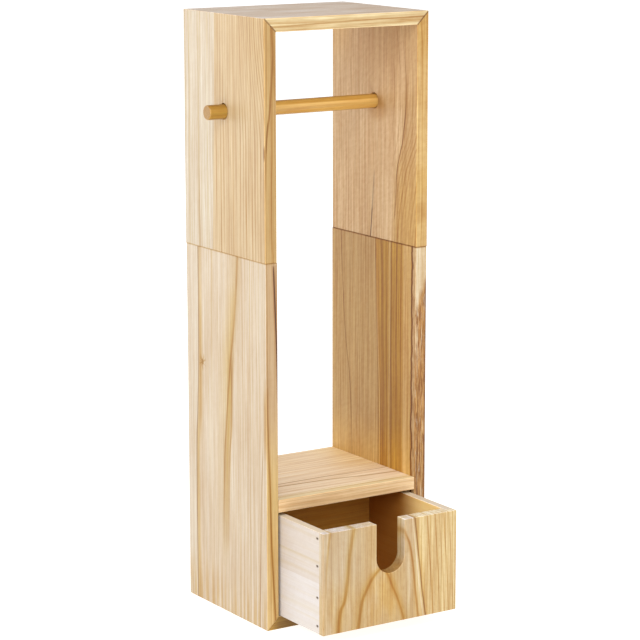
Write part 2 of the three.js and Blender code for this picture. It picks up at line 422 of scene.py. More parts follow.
    def board(self, tints, seams=(), wander=1.6, seed=0.0, seam_line=0.35):
        """Base colour of one board, glued up from strips. tints has one colour more than there are seams."""
        slow = self.noise(self.xyz(self.mad(self.l, 0.006, seed), self.mul(self.w, 0.02), self.mul(self.t, 0.02)), 1.0, 1.0)
        quick = self.noise(self.xyz(self.mad(self.l, 0.02, seed + 7), self.mul(self.w, 0.11), self.mul(self.t, 0.11)), 1.0, 2.0)
        self.wc = self.add(self.w, self.add(self.mad(slow, 2 * wander * 1.5, -wander * 1.5), self.mad(quick, wander, -wander / 2)))
        self.colour = self.mix(0.0, tints[0], tints[0])
        self.seam_masks = []
        for i, points in enumerate(seams):
            c = self.track(points)[0]
            d = self.sub(self.w, c)
            side = self.span(d, -0.12, 0.12)
            self.colour = self.mix(side, self.colour, tints[i + 1])
            self.shift = self.mad(side, 31.7, self.shift)
            self.seam_masks.append(self.mul(self.span(d, -0.5, -0.05), self.span(d, 0.5, 0.05)))
        for m in self.seam_masks:
            self.stain_and_painted_light(m, (0.62, 0.46, 0.32), seam_line)

    def rings(self, spacing, colour, strength, jitter=0.9, tilt=0.3, seed=0.0, mask=None, phase=None, sharp=0.55, length=120):
        """Growth lines that run along the grain: each darkens slowly across and ends more sharply."""
        q = self.mad(self.t, tilt, self.wc if phase is None else phase)
        wobble = self.noise(self.xyz(self.mad(self.l, 0.0025, seed), self.mad(q, 0.4 / spacing, self.add(self.shift, seed)), seed), 1.0, 1.5)
        at = self.math("FRACT", self.add(self.mad(q, 1 / spacing, self.mul(wobble, jitter * 3)), self.shift))
        late = self.mul(self.span(at, 1 - sharp, 0.76), self.span(at, 1.0, 0.86))
        here = self.noise(self.xyz(self.mad(self.l, 1.0 / length, seed + 3), self.mad(q, 0.9 / spacing, self.shift), 0.0), 1.0, 1.0)
        m = self.mul(late, self.span(here, 0.32, 0.68, 0.25, 1.0))
        if mask is not None:
            m = self.mul(m, mask)
        self.stain_and_painted_light(m, colour, strength)
        return late

    def finish(self, roughness=(0.46, 0.6), bump=0.12, fibre=0.11, pores=0.22, end_colour=(0.80, 0.68, 0.52), end=0.6,
               mottle=0.07, streak=0.14, edge=0.6, arris_highlight_colour=(1.26, 1.24, 1.18), specular=0.45, curl=0.03):
        """The parts that every board has: fibres, pores, mottling, end grain, eased edges with a painted highlight,
        roughness and relief. edge sets how strong that painted highlight is.
        """
        band = self.noise(self.stretched(0.005, 0.30, 0.30, 17.0), 1.0, 2.0, 0.55)
        thread = self.noise(self.stretched(0.009, 0.95, 0.95, 23.0), 1.0, 2.0, 0.6)
        middle = self.noise(self.stretched(0.007, 0.52, 0.52, 29.0), 1.0, 1.0, 0.5)
        shimmer = self.noise(self.xyz(self.mad(self.w, 0.07, self.mul(self.l, 0.21)), self.mad(self.l, 0.03, self.mul(self.w, 0.16)), self.mul(self.t, 0.12)), 1.0, 4.0, 0.65)
        shade = self.add(self.span(band, 0.28, 0.72, -streak, streak, smooth=False), self.span(thread, 0.28, 0.72, -streak, streak, smooth=False))
        short = self.noise(self.stretched(0.045, 0.75, 0.75, 37.0), 1.0, 3.0, 0.6)
        shade = self.add(shade, self.span(short, 0.28, 0.72, -streak * 0.6, streak * 0.6, smooth=False))
        shade = self.add(shade, self.span(middle, 0.28, 0.72, -streak * 0.8, streak * 0.8, smooth=False))
        shade = self.add(shade, self.span(shimmer, 0.28, 0.72, -curl, curl, smooth=False))
        self.colour = self.mix(1.0, self.colour, self.warm(shade), "MULTIPLY")
        fine = self.noise(self.stretched(0.018, 1.5, 1.5, 11.0), 1.0, 5.0, 0.62)
        self.colour = self.mix(1.0, self.colour, self.grey(self.span(fine, 0.25, 0.75, 1 - fibre, 1 + fibre, smooth=False)), "MULTIPLY")
        vessels = self.noise(self.stretched(0.11, 3.1, 3.1, 5.0), 1.0, 2.0, 0.5)
        pore = self.span(vessels, 0.60, 0.74)
        self.stain_and_painted_light(pore, (0.80, 0.68, 0.52), pores)
        cloud = self.noise(self.stretched(0.013, 0.05, 0.05, 3.0), 1.0, 3.0, 0.55)
        self.colour = self.mix(1.0, self.colour, self.warm(self.span(cloud, 0.3, 0.7, -mottle, mottle, smooth=False)), "MULTIPLY")
        # end grain is darker and shows the rings as arcs and dots
        ends = self.span(self.math("ABSOLUTE", self.n_l), 0.72, 0.92)
        dots = self.noise(self.xyz(self.mul(self.l, 0.1), self.mul(self.w, 2.2), self.mul(self.t, 2.2)), 1.0, 3.0, 0.6)
        self.stain_and_painted_light(ends, end_colour, end)
        self.stain_and_painted_light(self.mul(ends, self.span(dots, 0.5, 0.68)), (0.72, 0.58, 0.42), 0.35)
        # eased edges are painted a little lighter: a painted highlight along the arrises
        steep = self.math("MAXIMUM", self.math("ABSOLUTE", self.n_l), self.math("MAXIMUM", self.math("ABSOLUTE", self.n_w), self.math("ABSOLUTE", self.n_t)))
        arris_highlight = self.span(steep, 0.985, 0.86)
        self.colour = self.mix(self.mul(arris_highlight, edge), self.colour, self.mix(1.0, self.colour, arris_highlight_colour, "MULTIPLY"))
        self.put(self.bsdf.inputs["Base Color"], self.colour)
        r = self.noise(self.stretched(0.03, 0.6, 0.6, 2.0), 1.0, 3.0, 0.6)
        rr = self.span(r, 0.25, 0.75, roughness[0], roughness[1], smooth=False)
        self.put(self.bsdf.inputs["Roughness"], self.math("MAXIMUM", rr, self.mul(ends, 0.72)))
        self.bsdf.inputs["Specular IOR Level"].default_value = specular
        h = self.add(self.mul(fine, 0.7), self.mul(pore, -0.55))
        b = self.node("ShaderNodeBump")
        b.inputs["Strength"].default_value = bump
        b.inputs["Distance"].default_value = 0.00035
        self.put(b.inputs["Height"], h)
        self.nt.links.new(b.outputs[0], self.bsdf.inputs["Normal"])
        return self.mat

    def grey(self, value):
        n = self.node("ShaderNodeCombineColor")
        for s in n.inputs:
            self.put(s, value)
        return n.outputs[0]

    def warm(self, value):
        """1 + value, more in blue than in red, so that it also shifts the hue."""
        n = self.node("ShaderNodeCombineColor")
        for s, k in zip(n.inputs, (0.6, 1.0, 1.5)):
            self.put(s, self.mad(value, k, 1.0))
        return n.outputs[0]


def times(c, k):
    k = k if isinstance(k, tuple) else (k, k, k)
    return tuple(a * b for a, b in zip(c, k))


# Each board's wood, as the colour it would have in even white light.
GOLD = (0.86, 0.70, 0.46)
BROWN = (0.70, 0.52, 0.34)
DARK = (0.45, 0.30, 0.18)
LIGHT = (1.10, 1.12, 1.16)


def upper_left():
    m = Wood("upper_left_wood", Z, Y, X)
    front, backs = times(lin(228, 199, 158), (0.620, 0.610, 0.575)), times(lin(235, 217, 191), (0.606, 0.603, 0.597))
    m.board([front, backs], [[(372, 22.5), (430, 21), (520, 18), (597, 17)]], wander=1.0, seed=1.0)
    f = m.facing("w", -1)
    side = m.sub(1.0, f)
    fan = m.mul(m.span(m.l, 480, 616), m.span(m.w, 0, -80))
    bent = m.mad(fan, -22, m.wc)
    gold_side = m.mul(side, m.span(m.w, 19, 15))
    m.rings(5.3, (0.68, 0.49, 0.24), 0.95, jitter=0.22, seed=4.0, phase=bent, mask=m.mul(gold_side, m.span(m.w, -22, -36)), sharp=0.6)
    m.rings(4.8, (0.76, 0.60, 0.38), 0.80, jitter=0.40, seed=9.0, mask=m.mul(gold_side, m.span(m.w, -36, -22)), sharp=0.6)
    m.rings(8, (0.84, 0.74, 0.58), 0.65, jitter=0.8, seed=2.0, mask=m.mul(side, m.span(m.w, 17, 22)), sharp=0.35)
    m.stain_and_painted_light(m.mul(gold_side, fan), (0.95, 0.88, 0.75), 0.8)
    m.stain_and_painted_light(m.mul(side, m.line([(372, 48), (597, 49)], 2.2, 1.6)), (0.76, 0.62, 0.42), 0.85)
    m.stain_and_painted_light(m.line([(372, 68), (597, 66)], 3.0, 1.0), (0.88, 0.79, 0.63), 0.6)
    m.stain_and_painted_light(m.line([(372, 33), (597, 30)], 2.5, 1.5), (0.92, 0.85, 0.72), 0.6)
    m.stain_and_painted_light(m.mul(m.facing("t", -1), m.box_mask(l=(474, 486, 4), w=(-78, -74.5, 1.2))), (0.50, 0.34, 0.20), 0.9)
    m.stain_and_painted_light(m.span(m.w, -70, -77), GOLD, 0.30)
    # front edge
    m.stain_and_painted_light(f, (0.94, 0.855, 0.69), 1.0)
    m.rings(3.4, (0.84, 0.70, 0.48), 0.55, jitter=0.5, seed=12.0, phase=m.t, mask=f, sharp=0.5, length=90)
    m.stain_and_painted_light(m.mul(f, m.line([(540, -84.5), (570, -86), (600, -88)], 2.5, 4.5, fade=[(530, 0), (550, 0.8), (590, 1), (605, 0.8)], coordinate=m.t)), (0.76, 0.60, 0.40), 0.9)
    m.stain_and_painted_light(m.mul(f, m.line([(440, -95.5), (483, -94.3), (491, -94), (506, -92.6), (516, -90.8), (534, -89.2), (575, -86.5)], 1.9, 1.7, fade=[(440, 0.3), (470, 0.8), (500, 1), (545, 0.9), (575, 0.3)], coordinate=m.t, flat=0.4)), (0.62, 0.45, 0.25), 0.9)
    m.stain_and_painted_light(m.mul(f, m.line([(483, -94.3), (495, -93.6), (507, -92.5)], 1.0, 0.9, fade=[(480, 0), (488, 1), (503, 1), (510, 0)], coordinate=m.t)), (0.62, 0.46, 0.28), 0.9)
    m.stain_and_painted_light(m.mul(f, m.line([(380, -87), (430, -88.5), (470, -87.5)], 2.4, 1.2, coordinate=m.t)), (0.78, 0.60, 0.36), 0.7)
    m.mitre(513.75, 1.0, 0.7071, 0.7)
    m.butt(372.5, (0.78, 0.60, 0.34))
    # a stronger painted highlight along the arrises
    return m.finish(edge=1.0, arris_highlight_colour=(1.5, 1.52, 1.5))


def upper_right():
    m = Wood("upper_right_wood", Z, Y, X)
    m.board([times(lin(214, 178, 138), (0.80, 0.79, 0.72))], wander=1.4, seed=5.0)
    f = m.facing("w", -1)
    side = m.sub(1.0, f)
    m.rings(7.5, (0.84, 0.72, 0.56), 0.45, jitter=0.9, seed=3.0, sharp=0.5, mask=side)
    m.rings(3.3, (0.88, 0.79, 0.66), 0.35, jitter=0.7, seed=8.0, sharp=0.5, mask=side)
    # golden wood with nested curves beside the front, and the dark line that bounds it
    edge = [(372, -37.5), (424, -40.8), (444, -42.0), (460, -46.0), (488, -54.0), (528, -57.7), (564, -54.0), (597, -46.5)]
    c = m.track(edge)[0]
    d = m.sub(m.wc, c)
    gold = m.mul(side, m.span(d, 9, -9))
    m.stain_and_painted_light(m.mul(gold, m.span(m.l, 540, 440, 0.6, 1)), (0.90, 0.83, 0.66), 0.9)
    m.stain_and_painted_light(m.mul(gold, m.span(m.l, 500, 400)), (1.0, 0.95, 0.76), 0.9)
    slope = m.mad(m.span(m.l, 530, 372), -22, d)
    m.rings(5.2, (0.74, 0.54, 0.30), 0.85, jitter=0.35, seed=16.0, phase=slope, mask=m.mul(gold, m.span(m.l, 600, 470, 0.45, 1)), sharp=0.6, length=240)
    m.stain_and_painted_light(m.mul(side, m.line(edge, 1.8, 1.3, fade=[(396, 0), (416, 0.8), (450, 1), (500, 1), (540, 0.7), (570, 0.3), (597, 0.2)])), (0.46, 0.30, 0.15), 0.95)
    m.stain_and_painted_light(m.mul(side, m.line([(a, b + 9.5) for a, b in edge], 1.4, 1.0, fade=[(440, 0), (480, 0.7), (530, 0.8), (597, 0.5)])), (0.66, 0.48, 0.30), 0.8)
    m.stain_and_painted_light(m.mul(side, m.line([(a, b + 21) for a, b in edge], 1.4, 1.0, fade=[(470, 0), (500, 0.6), (540, 0.7), (560, 0.1)])), (0.70, 0.52, 0.34), 0.8)
    m.stain_and_painted_light(m.mul(side, m.line(edge, 6.0, 0.5, fade=[(400, 0), (430, 0.8), (500, 0.8), (560, 0.3), (597, 0.2)])), (0.84, 0.68, 0.46), 0.7)
    m.stain_and_painted_light(m.mul(side, m.line([(372, 5.2), (396.5, 2.8), (419, 0.7), (440, -1.0)], 1.9, 1.5, fade=[(372, 1), (400, 1), (406, 0.6), (428, 0.5), (444, 0)])), (0.22, 0.12, 0.06), 1.0)
    m.stain_and_painted_light(m.mul(side, m.line([(372, 8), (430, 3), (480, 0)], 2.5, 6.0, fade=[(372, 0.8), (430, 0.6), (480, 0)])), (0.90, 0.82, 0.72), 0.7)
    m.stain_and_painted_light(m.mul(m.facing("t", -1), m.sub(1.0, m.mul(gold, 0.85))), (1.09, 1.10, 1.10), 1.0)
    # darker and pinker high up in the middle, partly the wood's own tone and partly painted shade under the top; golden
    # again at the top behind
    m.stain_and_painted_light(m.mul(side, m.mul(m.span(m.l, 495, 575), m.mul(m.span(m.w, -54, -42), m.span(m.w, 66, -16)))), (0.86, 0.775, 0.69), 0.95)
    m.stain_and_painted_light(m.mul(side, m.mul(m.span(m.l, 535, 590), m.span(m.w, 28, 62))), (1.03, 0.96, 0.80), 0.9)
    # a painted shadow of the rod, below and in front of its hole
    rod_shadow_distance = m.vmath("LENGTH", m.xyz(m.mul(m.add(m.w, 7.0), 0.75), m.sub(m.l, 507.0), 0.0))
    m.stain_and_painted_light(m.mul(side, m.span(rod_shadow_distance, 17.0, 6.0)), (0.80, 0.66, 0.46), 0.8)
    m.stain_and_painted_light(f, (0.97, 0.96, 0.78), 0.95)
    m.stain_and_painted_light(m.mul(f, m.span(m.l, 545, 585)), (0.84, 0.73, 0.56), 0.8)
    m.stain_and_painted_light(m.mul(f, m.box_mask(l=(424, 452, 8))), (0.92, 0.85, 0.74), 0.8)
    m.rings(3.6, (0.84, 0.70, 0.48), 0.6, jitter=0.5, seed=15.0, phase=m.t, mask=f, sharp=0.5, length=90)
    m.stain_and_painted_light(m.mul(f, m.box_mask(l=(398, 420, 7))), (0.76, 0.60, 0.42), 0.6)
    m.stain_and_painted_light(m.mul(f, m.line([(372, 88), (480, 90), (597, 87)], 1.8, 1.4, coordinate=m.t)), (0.78, 0.62, 0.40), 0.7)
    m.mitre(513.75, 1.0, 0.7071, 1.0)
    m.butt(372.5, (0.60, 0.42, 0.25), 0.85)
    return m.finish(curl=0.12, specular=0.3, streak=0.17)


def top():
    m = Wood("top_wood", X, Y, Z)
    # the base is greyer and darker than the wood: painted shade, which the upward face keeps
    m.board([times(lin(214, 196, 176), (0.81, 0.815, 0.865))], wander=1.3, seed=9.0)
    f = m.facing("w", -1)
    side = m.sub(1.0, f)
    m.rings(6.5, (0.80, 0.66, 0.48), 0.7, jitter=0.9, seed=6.0, sharp=0.5, mask=side)
    m.rings(3.1, (0.84, 0.73, 0.58), 0.4, jitter=0.8, seed=26.0, sharp=0.5, mask=side)
    m.stain_and_painted_light(f, (1.02, 0.915, 0.62), 1.0)
    m.rings(3.0, (0.82, 0.67, 0.44), 0.5, jitter=0.5, seed=18.0, phase=m.t, mask=f, sharp=0.5, length=70)
    m.stain_and_painted_light(m.mul(f, m.line([(-96, 601), (0, 603.5), (96, 605)], 1.6, 0.8, coordinate=m.t)), (0.66, 0.47, 0.27), 0.8)
    # the underside is painted lighter and warmer than the top face, undoing that painted shade
    m.stain_and_painted_light(m.facing("t", -1), (1.19, 1.16, 0.93), 1.0)
    m.mitre(513.75, 1.0, 0.7071, 0.9)
    # a stronger painted highlight along the arrises
    return m.finish(mottle=0.18, streak=0.24, edge=1.0, arris_highlight_colour=(1.5, 1.52, 1.5))


def lower_left():
    m = Wood("lower_left_wood", Z, Y, X)
    front, backs = times(lin(231, 211, 183), (0.625, 0.610, 0.598)), times(lin(231, 213, 189), (0.640, 0.635, 0.622))
    seam = [(0, 60), (139, 60.3), (206, 57), (279, 54.3), (372, 53.7)]
    m.board([front, backs], [seam], wander=1.2, seed=14.0, seam_line=1.0)
    f = m.facing("w", -1)
    side = m.sub(1.0, f)
    m.rings(4.6, (0.82, 0.68, 0.48), 0.62, jitter=0.7, seed=1.5, mask=m.mul(side, m.span(m.w, -8, -22)), sharp=0.5)
    m.rings(9.0, (0.90, 0.81, 0.66), 0.30, jitter=0.9, seed=7.5, mask=m.mul(side, m.span(m.w, -22, -8)), sharp=0.4)
    m.stain_and_painted_light(m.mul(side, m.line(seam, 2.4, 1.4)), (0.60, 0.44, 0.24), 0.9)
    m.stain_and_painted_light(m.mul(side, m.line([(a, b - 2.6) for a, b in seam], 7.0, 3.0, fade=[(0, 1), (190, 0.9), (300, 0.6), (372, 0.7)])), (0.84, 0.68, 0.38), 1.0)
    main = [(0, 8), (60, 7.5), (121, 5.5), (146, 4.5), (171, 2.8), (196, 0), (221, -3), (246, -6.5), (271, -10.5), (296, -15), (321, -19), (346, -22), (372, -24)]
    core = [(0, 3), (121, 0.5), (146, -0.5), (171, -2), (196, -4.5), (221, -6.5), (246, -8.5), (271, -11.5), (296, -16), (321, -20), (346, -24), (372, -26)]
    m.stain_and_painted_light(m.line(main, 3.0, 26.0, fade=[(40, 0), (90, 0.2), (180, 0.4), (240, 0.7), (275, 1), (320, 0.9), (350, 0.5), (372, 0.4)]), (0.93, 0.81, 0.52), 1.0)
    m.stain_and_painted_light(m.line(core, 9.0, 9.0, fade=[(40, 0), (70, 0.4), (100, 0.7), (150, 0.9), (190, 1), (250, 1), (280, 0.5), (330, 0.4), (372, 0.5)]), (0.78, 0.60, 0.27), 1.0)
    m.stain_and_painted_light(m.line(main, 2.2, 2.6, fade=[(50, 0), (90, 0.5), (140, 0.9), (185, 1), (250, 0.9), (300, 0.5), (325, 0.3), (345, 0.8), (372, 0.9)]), (0.70, 0.50, 0.20), 0.95)
    m.stain_and_painted_light(m.line([(a, b - (9.5 if a < 200 else 9.5 - (a - 200) * 0.11)) for a, b in main if a < 280], 2.6, 2.2, fade=[(60, 0), (100, 0.4), (150, 0.8), (190, 1), (246, 1), (262, 0.3), (271, 0)]), (0.72, 0.52, 0.22), 0.9)
    m.stain_and_painted_light(m.line([(0, 30), (120, 31), (240, 28), (372, 26)], 4.0, 3.0, fade=[(0, 0.6), (100, 0.3), (250, 0.4), (372, 0.8)]), (0.92, 0.83, 0.66), 0.7)
    m.stain_and_painted_light(m.line([(0, -62.3), (72, -64.7), (119, -66.3), (192, -69.7), (372, -72)], 1.8, 1.1, fade=[(0, 1), (100, 1), (170, 0.8), (200, 0.3), (372, 0.2)]), (0.62, 0.43, 0.22), 0.9)
    m.stain_and_painted_light(m.line([(0, -25), (110, -27), (372, -30)], 1.8, 1.6, fade=[(0, 1), (90, 0.8), (130, 0.2), (372, 0.4)]), (0.88, 0.75, 0.53), 0.7)
    m.stain_and_painted_light(m.line([(0, -46), (372, -47)], 1.5, 1.2), (0.88, 0.78, 0.60), 0.5)
    m.stain_and_painted_light(m.mul(side, m.mul(m.box_mask(l=(180, 245, 18)), m.span(m.w, -70.5, -74))), (0.82, 0.62, 0.34), 0.9)
    off = m.xyz(m.mul(m.sub(m.l, 253.5), 0.8), m.sub(m.w, 46.4), 0.0)
    knot = m.vmath("LENGTH", off)
    rays = m.noise(m.vmath("NORMALIZE", off), 2.6, 1.0, 0.5)
    m.stain_and_painted_light(m.mul(side, m.span(knot, 3.4, 1.4)), (0.68, 0.50, 0.18), 1.0)
    m.stain_and_painted_light(m.mul(side, m.mul(m.span(knot, 9.0, 2.0), m.span(rays, 0.46, 0.56))), (0.76, 0.58, 0.26), 1.0)
    m.stain_and_painted_light(m.mul(side, m.mul(m.box_mask(l=(180, 320, 30)), m.box_mask(w=(48, 53, 2.5)))), (0.86, 0.70, 0.42), 0.8)
    low = m.noise(m.xyz(m.mul(m.l, 0.008), m.mul(m.w, 0.16), 4.0), 1.0, 2.0, 0.5)
    m.stain_and_painted_light(m.mul(side, m.mul(m.span(m.l, 62, 4), m.span(low, 0.40, 0.60))), (0.88, 0.72, 0.46), 0.9)
    # front edge
    m.stain_and_painted_light(f, (0.863, 0.700, 0.555), 1.0)
    m.rings(3.2, (0.86, 0.72, 0.50), 0.55, jitter=0.5, seed=19.0, phase=m.t, mask=f, sharp=0.5, length=90)
    m.stain_and_painted_light(m.mul(f, m.line([(240, -82.8), (280, -83.8), (320, -85.3), (369, -87.3)], 2.4, 7.0, fade=[(232, 0), (255, 0.7), (350, 0.9), (365, 0.7), (371, 0)], coordinate=m.t)), (0.66, 0.46, 0.30), 0.95)
    m.stain_and_painted_light(m.mul(f, m.line([(240, -82.4), (280, -83.4), (320, -84.9), (369, -86.9)], 1.1, 1.3, fade=[(232, 0), (250, 0.8), (270, 1), (362, 1), (370, 0.2)], coordinate=m.t)), (0.17, 0.07, 0.03), 1.0)
    m.stain_and_painted_light(m.mul(f, m.span(m.l, 245, 130)), (1.32, 1.38, 1.08), 0.95)
    # by the inner face near the floor the front edge is painted darker: painted shade of the drawer, joining the bottom
    # board's
    m.stain_and_painted_light(m.mul(f, m.mul(m.span(m.l, 30, 0), m.span(m.t, -90, -84))), (0.75, 0.62, 0.42), 0.9)
    m.stain_and_painted_light(m.mul(f, m.line([(0, -85.5), (10, -86), (83, -90), (150, -92), (227, -94.5)], 3.6, 2.8, fade=[(0, 1), (150, 1), (240, 0.6), (250, 0)], coordinate=m.t)), (0.80, 0.63, 0.38), 0.95)
    m.stain_and_painted_light(m.mul(f, m.line([(0, -85.5), (10, -86), (83, -90), (150, -92), (227, -94.5)], 1.3, 1.1, fade=[(0, 0.9), (100, 1), (160, 0.9), (230, 0.7)], coordinate=m.t)), (0.58, 0.44, 0.22), 0.9)
    m.mitre(13.0 / 13.5 * 95.75, -13.0 / 13.5, 0.72, 0.25)
    m.butt(372.5, (0.84, 0.68, 0.44), 0.7)
    return m.finish(mottle=0.09, streak=0.11)


def lower_right():
    m = Wood("lower_right_wood", Z, Y, X)
    front, backs = times(lin(186, 141, 88), (0.84, 0.81, 0.35)), times(lin(200, 163, 118), (0.74, 0.71, 0.51))
    seam = [(0, -12), (135, -12), (197, -11.5), (247, -10), (310, -7), (372, -4.5)]
    m.board([front, backs], [seam], wander=1.0, seed=21.0, seam_line=0.9)
    outer = m.math("MAXIMUM", m.facing("t", 1), m.facing("w", 1))
    m.paint(outer, times(lin(222, 188, 140), 0.82), 0.72)
    f = m.facing("w", -1)
    side = m.sub(1.0, f)
    m.rings(5.0, (0.76, 0.60, 0.40), 0.55, jitter=0.9, seed=2.2, mask=m.mul(side, m.span(m.w, -8, -14)), sharp=0.6)
    m.rings(4.6, (0.87, 0.76, 0.60), 0.45, jitter=0.6, seed=6.1, mask=m.mul(side, m.span(m.w, -14, -8)), sharp=0.5)
    m.paint(m.mul(side, m.box_mask(w=(-69, -55, 2.5))), times(lin(210, 172, 116), 0.80), 0.75)
    m.stain_and_painted_light(m.mul(side, m.box_mask(w=(-50, -14, 4.0))), (0.93, 0.91, 0.86), 1.0)
    m.stain_and_painted_light(m.line([(0, -36), (372, -33)], 2.8, 2.0), (0.56, 0.40, 0.22), 0.85)
    m.stain_and_painted_light(m.line([(0, -27), (372, -24.5)], 2.6, 1.8), (0.66, 0.50, 0.30), 0.7)
    m.stain_and_painted_light(m.line([(0, -45), (372, -43)], 2.6, 1.8), (0.68, 0.52, 0.30), 0.7)
    m.stain_and_painted_light(m.line([(0, -52), (372, -51)], 2.0, 1.6), (0.72, 0.56, 0.34), 0.7)
    m.stain_and_painted_light(m.line([(0, -64), (372, -64)], 1.6, 1.4), (0.78, 0.62, 0.40), 0.6)
    m.stain_and_painted_light(m.line([(a, b - 3.5) for a, b in seam], 5.0, 3.5), (0.80, 0.64, 0.45), 0.7)
    m.paint(m.line([(0, -58.7), (372, -58.7)], 1.8, 1.8), times(lin(214, 178, 126), 0.8), 0.6)
    m.stain_and_painted_light(m.line([(0, 36), (134, 38.4), (198, 41.3), (256, 50), (300, 54.4), (358, 58.7), (372, 59.5)], 1.5, 1.1), (0.56, 0.38, 0.22), 0.8)
    m.paint(m.line([(a, b - 1.6) for a, b in seam], 0.9, 0.9, fade=[(0, 1), (250, 0.8), (330, 0.2), (372, 0)]), times(lin(222, 186, 138), 0.8), 0.6)
    m.stain_and_painted_light(m.line([(a, b + 0.4) for a, b in seam], 0.9, 1.3, fade=[(0, 0.6), (150, 0.7), (372, 1)]), (0.60, 0.42, 0.28), 0.75)
    m.stain_and_painted_light(m.line([(0, -19), (200, -19.5), (372, -15)], 3.4, 2.6), (0.74, 0.58, 0.40), 0.8)
    m.paint(m.mul(side, m.box_mask(w=(-32.5, -29, 1.2))), times(lin(204, 166, 112), 0.78), 0.5)
    inside = m.facing("t", -1)
    m.stain_and_painted_light(m.mul(inside, m.span(m.l, 190, 134)), (1.36, 1.39, 1.24), 0.9)
    m.stain_and_painted_light(m.mul(inside, m.span(m.w, -14, -8)), (1.10, 1.09, 1.10), 1.0)
    m.stain_and_painted_light(m.mul(inside, m.span(m.w, -8, -14)), (1.06, 1.04, 0.93), 1.0)
    m.stain_and_painted_light(m.mul(inside, m.mul(m.span(m.l, 290, 372), m.span(m.w, -12, -2))), (0.93, 0.90, 0.90), 0.9)
    # the front arris keeps a sliver of the log's outer face
    ragged = m.noise(m.xyz(m.mul(m.l, 0.05), 3.0, 0.0), 1.0, 3.0, 0.6)
    arris = m.add(m.w, m.span(ragged, 0.3, 0.7, -1.3, 1.3, smooth=False))
    fleck = m.noise(m.xyz(m.mul(m.l, 0.06), m.mul(m.w, 0.55), m.mul(m.t, 0.55)), 1.0, 4.0, 0.62)
    inner_bark = m.mul(side, m.sub(1.0, outer))
    m.stain_and_painted_light(m.mul(inner_bark, m.span(m.w, -68.0, -70.0)), (0.86, 0.68, 0.44), 0.8)
    m.paint(m.mul(inner_bark, m.span(arris, -71.6, -73.0)), times(lin(226, 192, 144), 0.70), 0.8)
    m.stain_and_painted_light(m.mul(inner_bark, m.mul(m.span(arris, -72.0, -73.5), m.span(fleck, 0.50, 0.60))), (0.60, 0.42, 0.26), 0.9)
    m.stain_and_painted_light(m.mul(inner_bark, m.mul(m.span(arris, -69.0, -70.2), m.span(arris, -72.4, -71.4))), (0.30, 0.18, 0.09), 0.95)
    m.paint(f, times(lin(226, 198, 158), (0.71, 0.71, 0.70)), 1.0)
    m.rings(3.0, (0.86, 0.74, 0.54), 0.6, jitter=0.5, seed=25.0, phase=m.t, mask=m.mul(f, m.span(m.l, 318, 335)), sharp=0.5, length=60)
    start = m.add(m.l, m.mul(m.sub(m.t, 89), -2.2))
    rough = m.mul(m.span(start, 334, 316), m.span(m.l, 100, 122, 0.75, 1))
    streaky = m.noise(m.xyz(m.mul(m.l, 0.045), 0.0, m.mul(m.t, 0.85)), 1.0, 5.0, 0.68, 0.12)
    pale = m.noise(m.xyz(m.mul(m.l, 0.04), 6.0, m.mul(m.t, 0.85)), 1.0, 5.0, 0.68, 0.12)
    m.stain_and_painted_light(m.mul(f, rough), (0.83, 0.56, 0.31), 0.95)
    m.stain_and_painted_light(m.mul(f, m.mul(rough, m.span(streaky, 0.46, 0.56))), (0.46, 0.31, 0.19), 0.95)
    m.paint(m.mul(f, m.mul(rough, m.span(pale, 0.55, 0.63))), times(lin(240, 220, 188), 0.72), 0.75)
    m.paint(m.mul(f, m.mul(m.span(m.t, 87.5, 84.5), m.mul(m.span(m.l, 225, 290), m.span(streaky, 0.56, 0.44)))), times(lin(236, 214, 178), 0.72), 0.8)
    m.stain_and_painted_light(m.mul(f, m.mul(rough, m.span(m.t, 93.0, 94.8))), (0.40, 0.26, 0.16), 0.85)
    m.stain_and_painted_light(m.mul(f, m.line([(110, 85.6), (160, 85.3), (214, 85.9), (240, 86.4)], 0.9, 1.2, fade=[(105, 0.4), (130, 1), (205, 1), (240, 0)], coordinate=m.t)), (0.40, 0.26, 0.16), 0.9)
    m.stain_and_painted_light(m.mul(f, m.span(m.l, 120, 90)), (0.90, 0.76, 0.52), 0.8)
    m.mitre(13.0 / 13.5 * 95.75, -13.0 / 13.5, 0.72, 0.25)
    m.butt(372.5, (0.60, 0.42, 0.25), 0.85)
    return m.finish(curl=0.09, specular=0.3, streak=0.19)


def bottom():
    m = Wood("bottom_wood", X, Y, Z)
    m.board([times(lin(226, 200, 160), 0.92)], wander=1.3, seed=33.0)
    f = m.facing("w", -1)
    m.rings(7.0, (0.84, 0.72, 0.55), 0.5, jitter=0.9, seed=5.5, sharp=0.5, mask=m.sub(1.0, f))
    # the front edge is painted dark with the drawer's shadow, and lighter again at the left end beyond the drawer: a
    # painted shadow
    m.stain_and_painted_light(f, (0.29, 0.195, 0.045), 1.0)
    m.stain_and_painted_light(m.mul(f, m.span(m.l, -80, -94)), (2.0, 2.2, 2.9), 1.0)
    m.rings(3.0, (0.80, 0.64, 0.42), 0.6, jitter=0.5, seed=35.0, phase=m.t, mask=f, sharp=0.5, length=70)
    m.mitre(13.0 / 13.5 * 95.75, -13.0 / 13.5, 0.72, 0.25)
    return m.finish()


